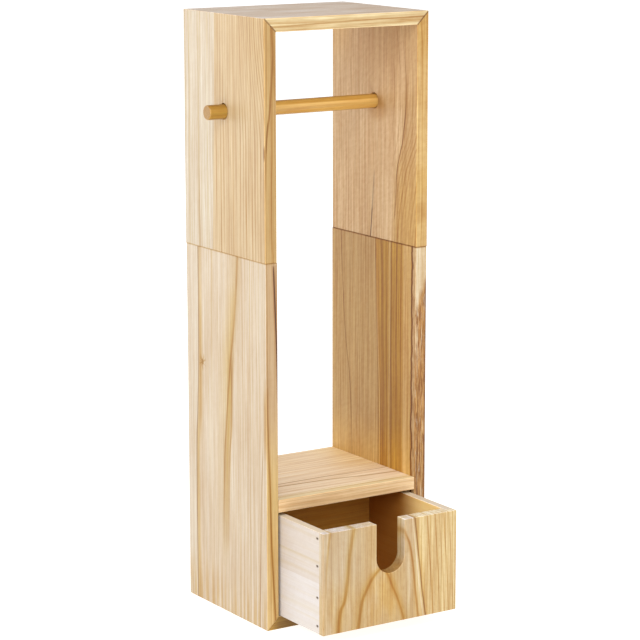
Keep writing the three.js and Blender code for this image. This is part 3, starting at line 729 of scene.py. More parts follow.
def shelf():
    m = Wood("shelf_wood", X, Y, Z)
    m.board([times(lin(224, 190, 149), (1.10, 1.27, 1.55))], wander=1.4, seed=41.0)
    f = m.facing("w", -1)
    side = m.sub(1.0, f)
    m.rings(6.0, (0.84, 0.70, 0.52), 0.35, jitter=1.0, seed=2.5, mask=m.mul(side, m.span(m.w, 0, -30)), sharp=0.5)
    m.rings(9.0, (0.90, 0.80, 0.66), 0.45, jitter=1.0, seed=7.7, mask=m.mul(side, m.span(m.w, -30, 0)), sharp=0.4)
    m.stain_and_painted_light(m.line([(-82, -24.5), (-49, -25.5), (0, -24.5), (40, -27), (82, -25.5)], 2.0, 1.6), (0.52, 0.35, 0.17), 0.9)
    m.stain_and_painted_light(m.line([(-82, -20), (-49, -21), (0, -20), (40, -22), (82, -21)], 1.6, 1.4, fade=[(-82, 0.5), (0, 0.8), (82, 0.8)]), (0.74, 0.56, 0.34), 0.8)
    m.stain_and_painted_light(m.line([(-82, -32), (-55, -33), (6, -37), (50, -43), (82, -46)], 3.6, 2.0), (0.54, 0.37, 0.18), 0.9)
    m.stain_and_painted_light(m.line([(-82, -53), (-20, -54), (82, -60)], 2.2, 1.6, fade=[(-82, 1), (0, 0.7), (82, 0.2)]), (0.74, 0.55, 0.33), 0.75)
    m.stain_and_painted_light(m.line([(-82, -66), (82, -70)], 2.4, 1.6), (0.80, 0.62, 0.40), 0.7)
    m.stain_and_painted_light(m.line([(-82, 8), (82, 12)], 3.0, 1.8), (0.88, 0.76, 0.58), 0.7)
    m.stain_and_painted_light(m.line([(-82, -6), (82, -2)], 2.0, 1.5), (0.90, 0.78, 0.58), 0.6)
    m.stain_and_painted_light(m.mul(m.span(m.l, 20, 82), m.span(m.w, -40, 10)), (0.98, 0.89, 0.68), 0.8)
    m.stain_and_painted_light(m.mul(m.span(m.w, -10, 40), m.span(m.l, 60, 0)), (0.97, 0.91, 0.86), 0.7)
    m.stain_and_painted_light(f, (0.915, 0.772, 0.629), 1.0)
    m.stain_and_painted_light(m.mul(side, m.span(m.w, -60, -70)), (0.90, 0.905, 0.745), 1.0)
    m.rings(3.4, (0.84, 0.70, 0.50), 0.5, jitter=0.6, seed=44.0, phase=m.t, mask=f, sharp=0.5, length=60)
    return m.finish()


def drawer_front():
    m = Wood("drawer_front_wood", Z, X, Y)
    m.board([times(lin(219, 186, 138), (0.665, 0.645, 0.565))], wander=0.9, seed=50.0)
    left = m.span(m.w, 30, 24)
    m.rings(5.6, (0.88, 0.74, 0.50), 0.30, jitter=1.3, seed=3.3, mask=left, sharp=0.6, length=60)
    haze = m.noise(m.stretched(0.011, 0.055, 0.055, 61.0), 1.0, 2.0, 0.5)
    m.paint(m.mul(left, m.span(haze, 0.50, 0.68)), times(lin(234, 210, 174), 0.68), 0.5)
    speck = m.noise(m.stretched(0.16, 1.1, 1.1, 67.0), 1.0, 3.0, 0.6)
    m.stain_and_painted_light(m.span(speck, 0.56, 0.72), (0.84, 0.69, 0.42), 0.7)
    right = m.span(m.w, 29, 34)
    m.stain_and_painted_light(right, (1.24, 1.35, 1.44), 1.0)
    m.paint(m.mul(left, m.mul(m.span(m.w, -20, -45), m.span(m.l, 40, 80))), times(lin(228, 202, 166), 0.56), 0.5)
    m.rings(4.0, (0.78, 0.60, 0.32), 0.75, jitter=0.8, seed=6.6, mask=right, sharp=0.6, length=55)
    A = [(13, -62), (33.7, -60), (45.3, -55), (63.7, -51.7), (87, -49.2), (105.3, -45.8), (117, -43.3)]
    m.stain_and_painted_light(m.line(A, 8.0, 6.5, fade=[(13, 1), (60, 0.8), (117, 0.7)]), (0.92, 0.80, 0.48), 0.95)
    m.stain_and_painted_light(m.line(A, 3.4, 2.6, fade=[(13, 1), (45, 1), (60, 0.85), (90, 0.7), (117, 0.65)], flat=0.7), (0.75, 0.56, 0.24), 0.95)
    B = [(13, -38.3), (30.3, -35.8), (42, -33.3), (52, -28.3), (62, -21.7), (70.3, -13.3), (74, -8)]
    m.stain_and_painted_light(m.line(B, 12.0, 6.0, fade=[(13, 0.6), (40, 0.8), (60, 1), (74, 1)]), (0.90, 0.77, 0.42), 0.95)
    m.stain_and_painted_light(m.line(B, 3.6, 2.6, fade=[(13, 1), (40, 0.95), (55, 0.85), (74, 0.7)], flat=0.7), (0.75, 0.56, 0.24), 0.95)
    C = [(13, 16.3), (18.7, 15), (33.7, 10), (48.7, 3.3), (63.7, -3.3), (68, -6)]
    m.stain_and_painted_light(m.line(C, 6.0, 8.5), (0.88, 0.72, 0.36), 0.9)
    m.stain_and_painted_light(m.line(C, 2.4, 2.2), (0.78, 0.57, 0.22), 0.85)
    D = [(13, 42.7), (45.3, 37.5), (70.3, 34.2), (97, 30.8), (117, 28.3)]
    m.stain_and_painted_light(m.line(D, 0.6, 7.0), (0.86, 0.69, 0.40), 0.75)
    m.stain_and_painted_light(m.line(D, 1.3, 1.7), (0.46, 0.28, 0.12), 0.9)
    m.paint(m.line([(a, b - 2.6) for a, b in D], 1.3, 1.1), times(lin(244, 222, 188), 0.72), 0.6)
    E = [(13, 34.2), (30.3, 31.7), (50.3, 29.2), (70.3, 26.7), (88.7, 23.3), (103.7, 17.5), (117, 13)]
    m.stain_and_painted_light(m.line(E, 5.5, 3.0, fade=[(13, 0.7), (50, 0.9), (90, 0.9), (105, 0.6), (117, 0.3)]), (0.88, 0.70, 0.42), 0.8)
    m.stain_and_painted_light(m.line(E, 2.2, 1.6, fade=[(13, 0.8), (50, 1), (90, 1), (105, 0.6), (117, 0.2)]), (0.72, 0.50, 0.20), 0.85)
    m.stain_and_painted_light(m.line([(13, -78.5), (67, -76.7), (100, -74.2), (117, -71.7)], 2.6, 2.2, fade=[(13, 0.3), (60, 0.6), (117, 1)]), (0.80, 0.60, 0.28), 0.85)
    for w0, w1, k in ((52, 43.5, 0.85), (60, 53, 0.7), (66, 58, 0.5), (71, 63.5, 0.6), (76, 70, 0.55)):
        m.stain_and_painted_light(m.line([(13, w0), (60, (w0 + w1) / 2 + 0.6), (117, w1)], 1.9, 1.0), (0.70, 0.48, 0.22), k)
    heart = m.mul(m.box_mask(l=(16, 66, 14), w=(-26, 6, 8)), m.span(m.noise(m.stretched(0.02, 0.12, 0.12, 77.0), 1.0, 2.0), 0.3, 0.62, 0.3, 1))
    m.stain_and_painted_light(heart, (1.0, 0.84, 0.49), 0.85)
    # the walls of the hand notch are painted paler: a painted light
    notch_walls_painted_light = m.mul(m.mul(m.box_mask(l=(76, 130, 8.0), w=(-18.2, 18.2, 0.6)), m.span(m.math("ABSOLUTE", m.n_t), 0.7, 0.4)), 1.0)
    m.stain_and_painted_light(notch_walls_painted_light, (1.22, 1.32, 1.50), 0.9)
    # the bottom of the notch is painted darker: painted shade in the recess
    low = m.mul(m.box_mask(l=(58, 74, 5.0), w=(-18.2, 18.2, 0.6)), m.span(m.math("ABSOLUTE", m.n_t), 0.7, 0.4))
    m.stain_and_painted_light(low, (0.54, 0.36, 0.15), 0.95)
    m.stain_and_painted_light(m.facing("l", 1), (1.36, 1.68, 2.75), 0.9)
    m.stain_and_painted_light(m.facing("w", -1, 0.6, 0.9), (1.0, 1.04, 1.12), 1.0)
    # the inner face, inside the drawer, is painted darker: painted shade
    m.stain_and_painted_light(m.facing("t", 1), (0.80, 0.62, 0.40), 1.0)
    return m.finish(end_colour=(0.94, 0.88, 0.78), end=0.15, curl=0.06, mottle=0.09)


def brad_marks(m):
    """Dark rings where the brad heads were driven. l is along Y and w along Z."""
    dz, dy = None, None
    for z in (21.3, 50.3, 82.3, 110.3):
        a = m.math("ABSOLUTE", m.sub(m.w, z))
        dz = a if dz is None else m.math("MINIMUM", dz, a)
    for y in (-144.35, -8.0):
        a = m.math("ABSOLUTE", m.sub(m.l, y))
        dy = a if dy is None else m.math("MINIMUM", dy, a)
    d = m.vmath("LENGTH", m.xyz(m.mul(dy, 0.65), dz, 0.0))
    outside = m.span(m.math("ABSOLUTE", m.n_t), 0.5, 0.8)
    m.stain_and_painted_light(m.mul(outside, m.span(d, 1.6, 0.9)), (0.15, 0.10, 0.06), 1.0)


def drawer_side(name, seed, inward):
    m = Wood(name, Y, Z, X)
    upper_c, lower_c = times(lin(236, 222, 207), (0.675, 0.68, 0.703)), times(lin(241, 231, 221), (0.685, 0.69, 0.716))
    m.board([lower_c, upper_c], [[(-150, 65.5), (0, 65.0)]], wander=0.8, seed=seed, seam_line=0.15)
    m.rings(12.0, (0.95, 0.89, 0.80), 0.5, jitter=1.0, seed=seed + 2, sharp=0.5)
    m.stain_and_painted_light(m.line([(-150, 86), (0, 87)], 5.0, 2.5), (0.96, 0.92, 0.85), 0.6)
    m.stain_and_painted_light(m.line([(-150, 36), (0, 34)], 6.0, 4.0), (0.97, 0.93, 0.88), 0.6)
    # the inner faces are painted darker, a painted shade inside the drawer, and painted lighter towards the open front
    # and the top, a painted light
    inner = m.facing("t", inward)
    m.stain_and_painted_light(inner, (0.72, 0.31, 0.07) if inward < 0 else (0.74, 0.46, 0.19), 1.0)
    painted_light_reach = m.mul(m.span(m.l, -64, -112), m.span(m.w, 52, 90, 0.35, 1))
    m.stain_and_painted_light(m.mul(inner, painted_light_reach), (2.6, 4.7, 11.5) if inward < 0 else (1.4, 1.7, 2.4), 1.0)
    m.stain_and_painted_light(m.facing("w", 1), (1.17, 1.13, 0.98), 1.0)
    brad_marks(m)
    return m.finish(end_colour=(0.93, 0.86, 0.76), streak=0.022, fibre=0.05, mottle=0.03, pores=0.10, specular=0.2)


def drawer_back():
    m = Wood("drawer_back_wood", X, Z, Y)
    m.board([times(lin(236, 218, 192), 0.72)], wander=0.8, seed=63.0)
    m.rings(8.0, (0.88, 0.78, 0.64), 0.5, jitter=1.0, seed=65.0, sharp=0.4)
    # the inner face is painted darker: painted shade inside the drawer
    m.stain_and_painted_light(m.facing("t", -1), (1.08, 0.68, 0.20), 1.0)
    m.stain_and_painted_light(m.facing("w", 1), (0.95, 0.82, 0.60), 1.0)
    return m.finish(streak=0.08, specular=0.2)


def rod_wood():
    m = Wood("rod_wood", X, Y, Z)
    m.board([times(lin(212, 166, 84), (0.965, 1.03, 1.22))], wander=0.4, seed=71.0)
    m.rings(2.6, (0.72, 0.54, 0.32), 0.6, jitter=0.9, seed=72.0, tilt=0.35, sharp=0.6)
    dark = m.noise(m.xyz(m.mul(m.l, 0.02), m.mul(m.w, 0.35), m.mul(m.t, 0.35)), 1.0, 2.0)
    m.stain_and_painted_light(m.span(dark, 0.5, 0.7), (0.80, 0.62, 0.38), 0.5)
    # the end outside the stand is painted darker: painted shade
    m.stain_and_painted_light(m.span(m.l, -83, -101), (0.55, 0.47, 0.27), 1.0)
    # the barrel is painted darker on its upper half and its underside and lighter in a band round the middle: painted
    # shade and a painted highlight
    m.stain_and_painted_light(m.span(m.n_t, 0.32, 0.60), (0.84, 0.79, 0.68), 1.0)
    m.stain_and_painted_light(m.span(m.n_t, 0.85, 0.98), (0.86, 0.79, 0.66), 0.9)
    m.stain_and_painted_light(m.mul(m.span(m.n_t, -0.12, 0.12), m.span(m.n_t, 0.48, 0.28)), (1.14, 1.14, 1.26), 1.0)
    m.stain_and_painted_light(m.span(m.n_t, -0.75, -0.97), (0.74, 0.68, 0.54), 0.9)
    ends = m.span(m.math("ABSOLUTE", m.n_l), 0.75, 0.9)
    m.paint(ends, times(lin(208, 168, 114), 0.60), 0.9)
    arcs = m.math("FRACT", m.mul(m.vmath("LENGTH", m.xyz(m.sub(m.w, 9.0), m.sub(m.t, 505.0), 0.0)), 0.62))
    m.stain_and_painted_light(m.mul(ends, m.span(arcs, 0.5, 0.95)), (0.74, 0.55, 0.34), 0.8)
    return m.finish(roughness=(0.30, 0.42), bump=0.08, end=0.2, specular=0.55, fibre=0.09, pores=0.25, streak=0.08)


def plywood(name, along, across, through, centre, seed, top_painted_shade=None):
    """centre is the sheet's middle along its thickness, where the core veneer lies."""
    m = Wood(name, along, across, through)
    m.board([times(lin(214, 186, 146), 0.9)], wander=2.0, seed=seed)
    m.rings(10.0, (0.86, 0.74, 0.58), 0.5, jitter=1.3, seed=seed + 1, sharp=0.5)
    # an optional painted shade on the upward face
    if top_painted_shade:
        m.stain_and_painted_light(m.facing("t", 1), top_painted_shade, 1.0)
    edges = m.sub(1.0, m.span(m.math("ABSOLUTE", m.n_t), 0.5, 0.8))
    depth = m.math("ABSOLUTE", m.sub(m.t, centre))
    core = m.span(depth, 0.62, 0.5)
    m.stain_and_painted_light(m.mul(edges, core), (0.66, 0.52, 0.40), 0.8)
    glue = m.mul(m.span(depth, 0.5, 0.58), m.span(depth, 0.68, 0.6))
    m.stain_and_painted_light(m.mul(edges, glue), (0.35, 0.24, 0.16), 0.8)
    return m.finish(roughness=(0.6, 0.75), pores=0.3, mottle=0.08, specular=0.25)


def dowel_wood():
    m = Wood("dowel_wood", X, Y, Z)
    m.board([times(lin(216, 184, 138), 0.9)], wander=0.3, seed=81.0)
    m.rings(1.6, (0.82, 0.68, 0.50), 0.5, seed=82.0)
    return m.finish(roughness=(0.6, 0.75))


def steel():
    m = Wood("brad_steel", X, Y, Z)
    m.wc = m.w
    m.colour = m.mix(0.0, lin(74, 66, 58), lin(74, 66, 58))
    spots = m.noise(m.xyz(m.mul(m.l, 2.1), m.mul(m.w, 2.1), m.mul(m.t, 2.1)), 1.0, 3.0, 0.6)
    m.stain_and_painted_light(m.span(spots, 0.45, 0.7), (0.55, 0.42, 0.33), 0.7)
    m.put(m.bsdf.inputs["Base Color"], m.colour)
    m.bsdf.inputs["Metallic"].default_value = 0.85
    m.put(m.bsdf.inputs["Roughness"], m.span(spots, 0.3, 0.7, 0.38, 0.62, smooth=False))
    b = m.node("ShaderNodeBump")
    b.inputs["Strength"].default_value = 0.2
    b.inputs["Distance"].default_value = 0.0001
    m.put(b.inputs["Height"], spots)
    m.nt.links.new(b.outputs[0], m.bsdf.inputs["Normal"])
    return m.mat


# ---- places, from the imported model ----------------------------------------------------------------
(ul_lo, ul_hi), (ur_lo, ur_hi), (top_lo, top_hi) = span("upper_left_side"), span("upper_right_side"), span("top_panel")
(ll_lo, ll_hi), (lr_lo, lr_hi), (bot_lo, bot_hi) = span("lower_left_side"), span("lower_right_side"), span("bottom_panel")
(sh_lo, sh_hi), (bay_lo, bay_hi), (rod_lo, rod_hi) = span("shelf"), span("drawer_bay_back"), span("roll_rod")
(df_lo, df_hi), (ds_lo, ds_hi), (dr_lo, dr_hi) = span("drawer_front"), span("drawer_left_side"), span("drawer_right_side")
(db_lo, db_hi), (dp_lo, dp_hi) = span("drawer_back"), span("drawer_bottom")

front, back = ul_lo[1], ul_hi[1]
uxo, uxi = ul_lo[0], ul_hi[0]          # outer and inner face of the left side, negative
lxo, lxi = ll_lo[0], ll_hi[0]
top_z, under_z, useam = ul_hi[2], top_lo[2], ul_lo[2]
lseam, floor_z, base_z = ll_hi[2], ll_lo[2], bot_hi[2]
rod_z = (rod_lo[2] + rod_hi[2]) / 2
rod_r = (rod_hi[2] - rod_lo[2]) / 2
hole_z, hole_r = 514.25, 7.95


def round_hole(x_face, x_end, z, y, r, flare, through=None):
    """A hole bored along X from a face, with its mouth eased. through is the far face, eased too."""
    s = 1 if x_end > x_face else -1
    e = flare
    prof = [(-1.0, r + e), (0.0, r + e), (0.22 * e, r + 0.55 * e), (0.55 * e, r + 0.22 * e), (e, r)]
    length = abs(x_end - x_face)
    if through:
        prof += [(length - e, r), (length - 0.55 * e, r + 0.22 * e), (length - 0.22 * e, r + 0.55 * e), (length, r + e), (length + 1.0, r + e)]
    else:
        prof += [(length, r)]
    return lathe(prof, (x_face, y, z), (s, 0, 0), 64)


def peg_hole(r, a, b, centre, axis):
    """A drilled hole from a to b along an axis, with the drill's cone at b."""
    s = 1 if b > a else -1
    return lathe([(a, r), (b - s * 0.8, r), (b, r * 0.35)], centre, axis, 24)


def strip(t, w, l, x, z, angle, rounding=0.0):
    """A tongue that runs along Y. Its thickness lies along a line that rises at angle from +X."""
    bm = block(-t / 2, t / 2, -l / 2, l / 2, -w / 2, w / 2)
    if rounding:
        bm = ease(bm, lambda e: 1.0, rounding, 2)
    bm.transform(Matrix.Translation((x, 0, z)) @ Matrix.Rotation(-angle, 4, "Y"))
    return bm


def is_along_y(e):
    a, b = (v.co for v in e.verts)
    return abs(a.y - b.y) > 1


def near(v, target, tol=0.01):
    return abs(v - target) < tol


MATS = {
    "upper_left": upper_left(), "upper_right": upper_right(), "top": top(), "lower_left": lower_left(),
    "lower_right": lower_right(), "bottom": bottom(), "shelf": shelf(), "drawer_front": drawer_front(),
    "drawer_left": drawer_side("drawer_left_wood", 52.0, 1), "drawer_right": drawer_side("drawer_right_wood", 58.0, -1),
    "drawer_back": drawer_back(), "rod": rod_wood(), "dowel": dowel_wood(), "steel": steel(),
    "bay_ply": plywood("bay_back_ply", X, Z, Y, (bay_lo[1] + bay_hi[1]) / 2, 91.0),
    # the drawer bottom's upper face carries a painted shade inside the drawer
    "drawer_ply": plywood("drawer_bottom_ply", X, Y, Z, (dp_lo[2] + dp_hi[2]) / 2, 95.0, (0.80, 0.52, 0.22)),
}

HAIR = 0.06   # half of the glue line left in a mitre


# ---- upper module: one mitred inverted U, parted at its mitres --------------------------------------
def upper_u():
    bm = prism([(uxo, useam), (uxo, top_z), (-uxo, top_z), (-uxo, useam), (-uxi, useam), (-uxi, under_z), (uxi, under_z), (uxi, useam)], front, back)

    def weight(e):
        a, b = (v.co for v in e.verts)
        if is_along_y(e):
            if near(a.z, useam):
                return 0.4
            if near(a.z, top_z):
                return 1.0
            return 0.0
        if near(a.z, useam) and near(b.z, useam):
            return 0.4
        return 1.0

    return ease(bm, weight)


upper_dowel_x = (96.25 + 95.75) / 2 - 13.5 / 2
c45 = math.sqrt(0.5)
left_n, right_n = Vector((c45, 0, c45)), Vector((-c45, 0, c45))
left_p, right_p = Vector((uxo, 0, top_z)), Vector((-uxo, 0, top_z))
mitre_mid = (-(uxo + uxi) / 2, (top_z + under_z) / 2)


def slots_upper(side):
    return strip(3.6, 10.6, 120.6, side * mitre_mid[0], mitre_mid[1], side * math.pi / 4)


def dowels_up(side):
    return [peg_hole(3.3, -1.0, 15.3, (side * upper_dowel_x, y, 372.5), Z) for y in (-48, 48)]


bm = slice_off(slice_off(upper_u(), (0, 0, 0), (1, 0, 0)), left_p - left_n * HAIR, left_n)
bm = drill(bm, slots_upper(-1), *dowels_up(-1), round_hole(uxo, uxi, hole_z, 0, hole_r, 0.5, through=True))
piece(bm, "upper_left_side_board", MATS["upper_left"], "stand", ["upper_left_side"])

bm = slice_off(slice_off(upper_u(), (0, 0, 0), (-1, 0, 0)), right_p - right_n * HAIR, right_n)
bm = drill(bm, slots_upper(1), *dowels_up(1), round_hole(-uxi, 91.05, hole_z, 0, hole_r, 0.5))
piece(bm, "upper_right_side_board", MATS["upper_right"], "stand", ["upper_right_side"])

bm = slice_off(upper_u(), left_p + left_n * HAIR, -left_n)
bm = slice_off(bm, right_p + right_n * HAIR, -right_n)
bm = drill(bm, slots_upper(-1), slots_upper(1))
piece(bm, "top_board_panel", MATS["top"], "stand", ["top_panel"])


# ---- lower module: one mitred U, parted the same way -------------------------------------------------
def lower_u():
    bm = prism([(lxo, lseam), (lxo, floor_z), (-lxo, floor_z), (-lxo, lseam), (-lxi, lseam), (-lxi, base_z), (lxi, base_z), (lxi, lseam)], front, back)

    def weight(e):
        a, b = (v.co for v in e.verts)
        if is_along_y(e):
            if near(a.z, lseam):
                return 0.4
            if near(a.z, floor_z):
                return 0.7
            return 0.0
        if near(a.z, lseam) and near(b.z, lseam):
            return 0.4
        if near(a.z, floor_z) and near(b.z, floor_z):
            return 0.7
        return 1.0

    return ease(bm, weight)


rise = math.atan2(base_z - floor_z, lxi - lxo)
low_n = Vector((math.sin(rise), 0, -math.cos(rise)))
low_m = Vector((-low_n.x, 0, low_n.z))
low_p, low_q = Vector((lxo, 0, floor_z)), Vector((-lxo, 0, floor_z))
low_mid = (-(lxo + lxi) / 2, base_z / 2)
shelf_mid = (sh_lo[2] + sh_hi[2]) / 2


def slots_lower(side):
    return strip(3.6, 10.6, 120.6, side * low_mid[0], low_mid[1], -side * rise)


def dowels_down(side):
    return [peg_hole(3.3, 1.0, -15.3, (side * upper_dowel_x, y, 372.5), Z) for y in (-48, 48)]


def shelf_pegs_side(side):
    return [peg_hole(3.3, -1.0, 9.3, (side * -lxi, y, shelf_mid), (side, 0, 0)) for y in (-45, 45)]


bm = slice_off(slice_off(lower_u(), (0, 0, 0), (1, 0, 0)), low_p - low_n * HAIR, low_n)
bm = drill(bm, slots_lower(-1), *dowels_down(-1), *shelf_pegs_side(-1))
piece(bm, "lower_left_side_board", MATS["lower_left"], "stand", ["lower_left_side"])

bm = slice_off(slice_off(lower_u(), (0, 0, 0), (-1, 0, 0)), low_q - low_m * HAIR, low_m)
bm = drill(bm, slots_lower(1), *dowels_down(1), *shelf_pegs_side(1))
piece(bm, "lower_right_side_board", MATS["lower_right"], "stand", ["lower_right_side"])

bm = slice_off(lower_u(), low_p + low_n * HAIR, -low_n)
bm = slice_off(bm, low_q + low_m * HAIR, -low_m)
bm = drill(bm, slots_lower(-1), slots_lower(1))
piece(bm, "bottom_board_panel", MATS["bottom"], "stand", ["bottom_panel"])

# shelf, with its dowel holes in both ends
bm = ease(block(sh_lo[0], sh_hi[0], sh_lo[1], sh_hi[1], sh_lo[2], sh_hi[2]),
          lambda e: 0.9 if not is_along_y(e) and near(e.verts[0].co.z, e.verts[1].co.z) else 0.12)
bm = drill(bm, *[peg_hole(3.3, 1.0, -19.3, (s * sh_hi[0], y, shelf_mid), (s, 0, 0)) for s in (-1, 1) for y in (-45, 45)])
piece(bm, "shelf_board_panel", MATS["shelf"], "stand", ["shelf"])

bm = ease(block(bay_lo[0], bay_hi[0], bay_lo[1], bay_hi[1], bay_lo[2], bay_hi[2]), lambda e: 1.0, 0.2, 2)
piece(bm, "drawer_bay_back_ply", MATS["bay_ply"], "stand", ["drawer_bay_back"])

# tongues in the mitres
for side, word in ((-1, "left"), (1, "right")):
    for where, x, z, angle in (("top", side * mitre_mid[0], mitre_mid[1], side * math.pi / 4), ("bottom", side * low_mid[0], low_mid[1], -side * rise)):
        t = Vector((math.cos(angle), 0, math.sin(angle)))
        w = Vector((-math.sin(angle), 0, math.cos(angle)))
        mat = plywood(f"{where}_{word}_spline_ply", Y, tuple(w), tuple(t), x * t.x + z * t.z, 100.0 + side)
        piece(strip(3.0, 10.0, 120.0, x, z, angle, 0.25), f"{where}_mitre_spline_{word}_ply", mat, "stand",
              [f"{where}_mitre_spline_{word}"])


def fluted(length, r, centre, axis, flutes=14):
    """A ready-made peg: fluted along its length, chamfered at both ends."""
    along = Vector(axis).normalized()
    side = Vector((0, 0, 1)) if abs(along.z) < 0.9 else Vector((1, 0, 0))
    u = along.cross(side).normalized()
    v = along.cross(u)
    c = Vector(centre)
    n = flutes * 4
    bm = bmesh.new()
    rings = []
    for s, k in ((-length / 2, 0.80), (-length / 2 + 0.9, 1.0), (0.0, 1.0), (length / 2 - 0.9, 1.0), (length / 2, 0.80)):
        ring = []
        for i in range(n):
            rr = r * k * (1.0 if i % 4 in (0, 1) else 0.94)
            a = 2 * math.pi * i / n
            ring.append(bm.verts.new(c + along * s + (u * math.cos(a) + v * math.sin(a)) * rr))
        rings.append(ring)
    for p, q in zip(rings, rings[1:]):
        for i in range(n):
            j = (i + 1) % n
            bm.faces.new((p[i], p[j], q[j], q[i]))
    bm.faces.new(rings[0])
    bm.faces.new(rings[-1])
    bmesh.ops.recalc_face_normals(bm, faces=bm.faces)
    return bm


for side, word in ((-1, "left"), (1, "right")):
    for where in ("front", "rear"):
        for kind, axis, length in (("module_dowel", Z, 30.0), ("shelf_dowel", X, 28.0)):
            node = f"{kind}_{word}_{where}"
            lo, hi = span(node)
            mid = [(a + b) / 2 for a, b in zip(lo, hi)]
            piece(fluted(length, 3.0, mid, axis), f"{node}_peg", MATS["dowel"], "stand", [node], sharp=50)

# ---- rod --------------------------------------------------------------------------------------------
rl = rod_hi[0] - rod_lo[0]
rc = 0.9
bm = lathe([(0, 0), (0, rod_r - rc * 1.05), (0.12, rod_r - rc * 0.62), (0.45, rod_r - rc * 0.22), (rc, rod_r - 0.01), (rc + 0.6, rod_r),
            (rl * 0.25, rod_r), (rl * 0.5, rod_r), (rl * 0.75, rod_r), (rl - rc - 0.6, rod_r), (rl - rc, rod_r - 0.01),
            (rl - 0.45, rod_r - rc * 0.22), (rl - 0.12, rod_r - rc * 0.62), (rl, rod_r - rc * 1.05), (rl, 0)],
           (rod_lo[0], 0, rod_z), X, 72)
piece(bm, "roll_rod_wood", MATS["rod"], "rod", ["roll_rod"], sharp=40)

# ---- drawer -----------------------------------------------------------------------------------------
dx = df_hi[0]
fy, iy = df_lo[1], df_hi[1]
dz0, dz1 = df_lo[2], df_hi[2]
lip_y = fy + 6.75
in_x = dx - 9.0
notch_r, notch_z = 33.5 / 2, dz1 - 52 + 33.5 / 2
arc = [(notch_r * math.cos(math.pi * k / 32), notch_z - notch_r * math.sin(math.pi * k / 32)) for k in range(33)]
outline = [(-dx, dz0), (dx, dz0), (dx, dz1), (notch_r, dz1)] + arc + [(-notch_r, dz1), (-dx, dz1)]
bm = prism(outline, fy, iy)


def front_weight(e):
    a, b = (v.co for v in e.verts)
    ends = [(abs(v.x), v.y, v.z) for v in (a, b)]
    if is_along_y(e):
        if near(ends[0][0], notch_r) and near(a.z, dz1):
            return 1.0
        return 1.0 if near(ends[0][0], dx) else 0.2 if near(ends[0][0], in_x) else 0.0
    if near(a.y, fy):
        return 1.0
    if near(a.y, lip_y):
        return 0.0 if near(ends[0][0], in_x) and near(ends[1][0], in_x) else 0.2
    if near(ends[0][0], in_x) and near(ends[1][0], in_x):
        return 0.2
    return 0.75


bm = drill(bm, block(-dx - 1, -in_x, lip_y, iy + 1, dz0 - 1, dz1 + 1), block(in_x, dx + 1, lip_y, iy + 1, dz0 - 1, dz1 + 1))
bm = ease(bm, front_weight, 0.8)
groove = lambda: block(-in_x - 3, in_x + 3, iy - 3, db_lo[1] + 3, dz0 + 5, dz0 + 8.4)
brad_z = [dz0 + v for v in (8, 37, 69, 97)]
brad_front_y, brad_rear_y = fy + 6.75 + 3.4, fy + 150 - 3.5


def brad_holes(side, y):
    return [lathe([(-1.0, 0.98), (0.0, 0.98), (0.25, 0.9), (19.6, 0.9)], (side * dx, y, z), (-side, 0, 0), 20) for z in brad_z]


bm = drill(bm, groove(), *brad_holes(-1, brad_front_y), *brad_holes(1, brad_front_y))
piece(bm, "drawer_front_panel", MATS["drawer_front"], "drawer", ["drawer_front"])

for side, word, lo, hi in ((-1, "left", ds_lo, ds_hi), (1, "right", dr_lo, dr_hi)):
    def side_weight(e, side=side, lo=lo, hi=hi):
        a, b = (v.co for v in e.verts)
        long_edge = is_along_y(e)
        outer = near(a.x, side * dx) and near(b.x, side * dx)
        if long_edge:
            return 1.0
        if near(a.y, lo[1]) and near(b.y, lo[1]):
            return 0.3
        return 1.0 if outer else 0.3

    bm = ease(block(lo[0], hi[0], lo[1], hi[1], lo[2], hi[2]), side_weight, 0.55)
    bm = drill(bm, groove(), *brad_holes(side, brad_front_y), *brad_holes(side, brad_rear_y))
    piece(bm, f"drawer_{word}_side_board", MATS[f"drawer_{word}"], "drawer", [f"drawer_{word}_side"])

bm = ease(block(db_lo[0], db_hi[0], db_lo[1], db_hi[1], db_lo[2], db_hi[2]),
          lambda e: 1.0 if near(e.verts[0].co.z, e.verts[1].co.z) and not is_along_y(e) else 0.15, 0.5)
bm = drill(bm, groove(), *brad_holes(-1, brad_rear_y), *brad_holes(1, brad_rear_y))
piece(bm, "drawer_back_board", MATS["drawer_back"], "drawer", ["drawer_back"])

bm = ease(block(dp_lo[0], dp_hi[0], dp_lo[1], dp_hi[1], dp_lo[2], dp_hi[2]), lambda e: 1.0, 0.2, 2)
piece(bm, "drawer_bottom_ply_panel", MATS["drawer_ply"], "drawer", ["drawer_bottom"])

for side, word in ((-1, "left"), (1, "right")):
    for where in ("front", "rear"):
        for i in range(1, 5):
            node = f"drawer_brad_{word}_{where}_{i}"
            lo, hi = span(node)
            x_head = lo[0] if side < 0 else hi[0]
            mid = (x_head, (lo[1] + hi[1]) / 2, (lo[2] + hi[2]) / 2)
            prof = [(0.10, 0), (0.10, 0.34), (0.0, 0.40), (0.0, 0.62), (0.10, 0.75), (0.62, 0.75), (0.95, 0.5), (17.2, 0.5), (18.9, 0.06), (18.95, 0)]
            piece(lathe(prof, mid, (-side, 0, 0), 20), f"{node}_pin", MATS["steel"], "drawer", [node])

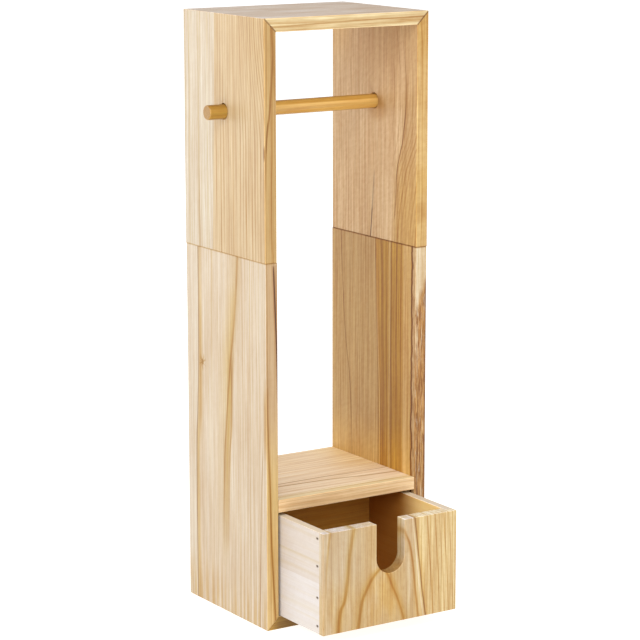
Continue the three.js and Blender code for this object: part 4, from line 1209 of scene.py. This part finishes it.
# ---- floor, light and camera ------------------------------------------------------------------------
bm = bmesh.new()
bmesh.ops.create_circle(bm, cap_ends=True, radius=14.0, segments=96)
me = bpy.data.meshes.new("studio_floor")
bm.to_mesh(me)
bm.free()
floor = bpy.data.objects.new("studio_floor", me)
floor.location = (0, 0, -0.0002)
scene.collection.objects.link(floor)
fm = bpy.data.materials.new("studio_floor")
fm.use_nodes = True
fb = fm.node_tree.nodes["Principled BSDF"]
fb.inputs["Base Color"].default_value = (0.5, 0.5, 0.5, 1)
fb.inputs["Roughness"].default_value = 0.9
fb.inputs["Specular IOR Level"].default_value = 0.1
fb.inputs["Emission Color"].default_value = (1, 1, 1, 1)
fb.inputs["Emission Strength"].default_value = 0.82
me.materials.append(fm)
floor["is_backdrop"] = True

world = bpy.data.worlds.new("studio")
world.use_nodes = True
bg = world.node_tree.nodes["Background"]
bg.inputs["Color"].default_value = (1.0, 1.0, 1.0, 1)
bg.inputs["Strength"].default_value = 0.65
scene.world = world


def softbox(name, place, target, size, watts, colour=(1, 1, 1)):
    light = bpy.data.lights.new(name, "AREA")
    light.shape = "RECTANGLE"
    light.size, light.size_y = size
    light.energy = watts
    light.color = colour
    o = bpy.data.objects.new(name, light)
    o.location = place
    o.rotation_euler = (Vector(target) - Vector(place)).to_track_quat("-Z", "Y").to_euler()
    scene.collection.objects.link(o)
    return o


softbox("rear", (-0.8, 2.2, 1.0), (0, 0, 0.38), (1.6, 1.6), 23, (1.0, 0.99, 0.97))
softbox("key", (-2.2, -0.3, 1.1), (0, 0, 0.36), (1.5, 1.5), 18, (1.0, 0.99, 0.97))
softbox("fill", (-0.25, -1.9, 2.5), (0, 0, 0.25), (1.6, 1.2), 34, (1.0, 0.99, 0.98))
softbox("low", (-1.3, -1.9, 1.5), (0, 0, 0.2), (1.2, 1.2), 12, (1.0, 0.99, 0.98))

az, el, roll = math.radians(-32.950), math.radians(11.306), math.radians(-0.057)
right = Vector((math.cos(az), math.sin(az), 0))
away = Vector((math.sin(az) * math.cos(el), -math.cos(az) * math.cos(el), math.sin(el)))
up = away.cross(right)
target = right * 0.014250 + Vector((0, 0, 0.29412))
cam = bpy.data.cameras.new("camera")
cam.sensor_width = 36.0
cam.lens = 139.82
cam.clip_start, cam.clip_end = 0.05, 60.0
camera = bpy.data.objects.new("camera", cam)
basis = Matrix((right * math.cos(roll) + up * math.sin(roll), up * math.cos(roll) - right * math.sin(roll), away)).transposed()
camera.matrix_world = Matrix.Translation(target + away * 2.5418) @ basis.to_4x4()
scene.collection.objects.link(camera)
scene.camera = camera
scene.view_settings.view_transform = "Standard"

lo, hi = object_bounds()
{"cad": [list(cad_lo), list(cad_hi)], "visual": [list(lo), list(hi)]}
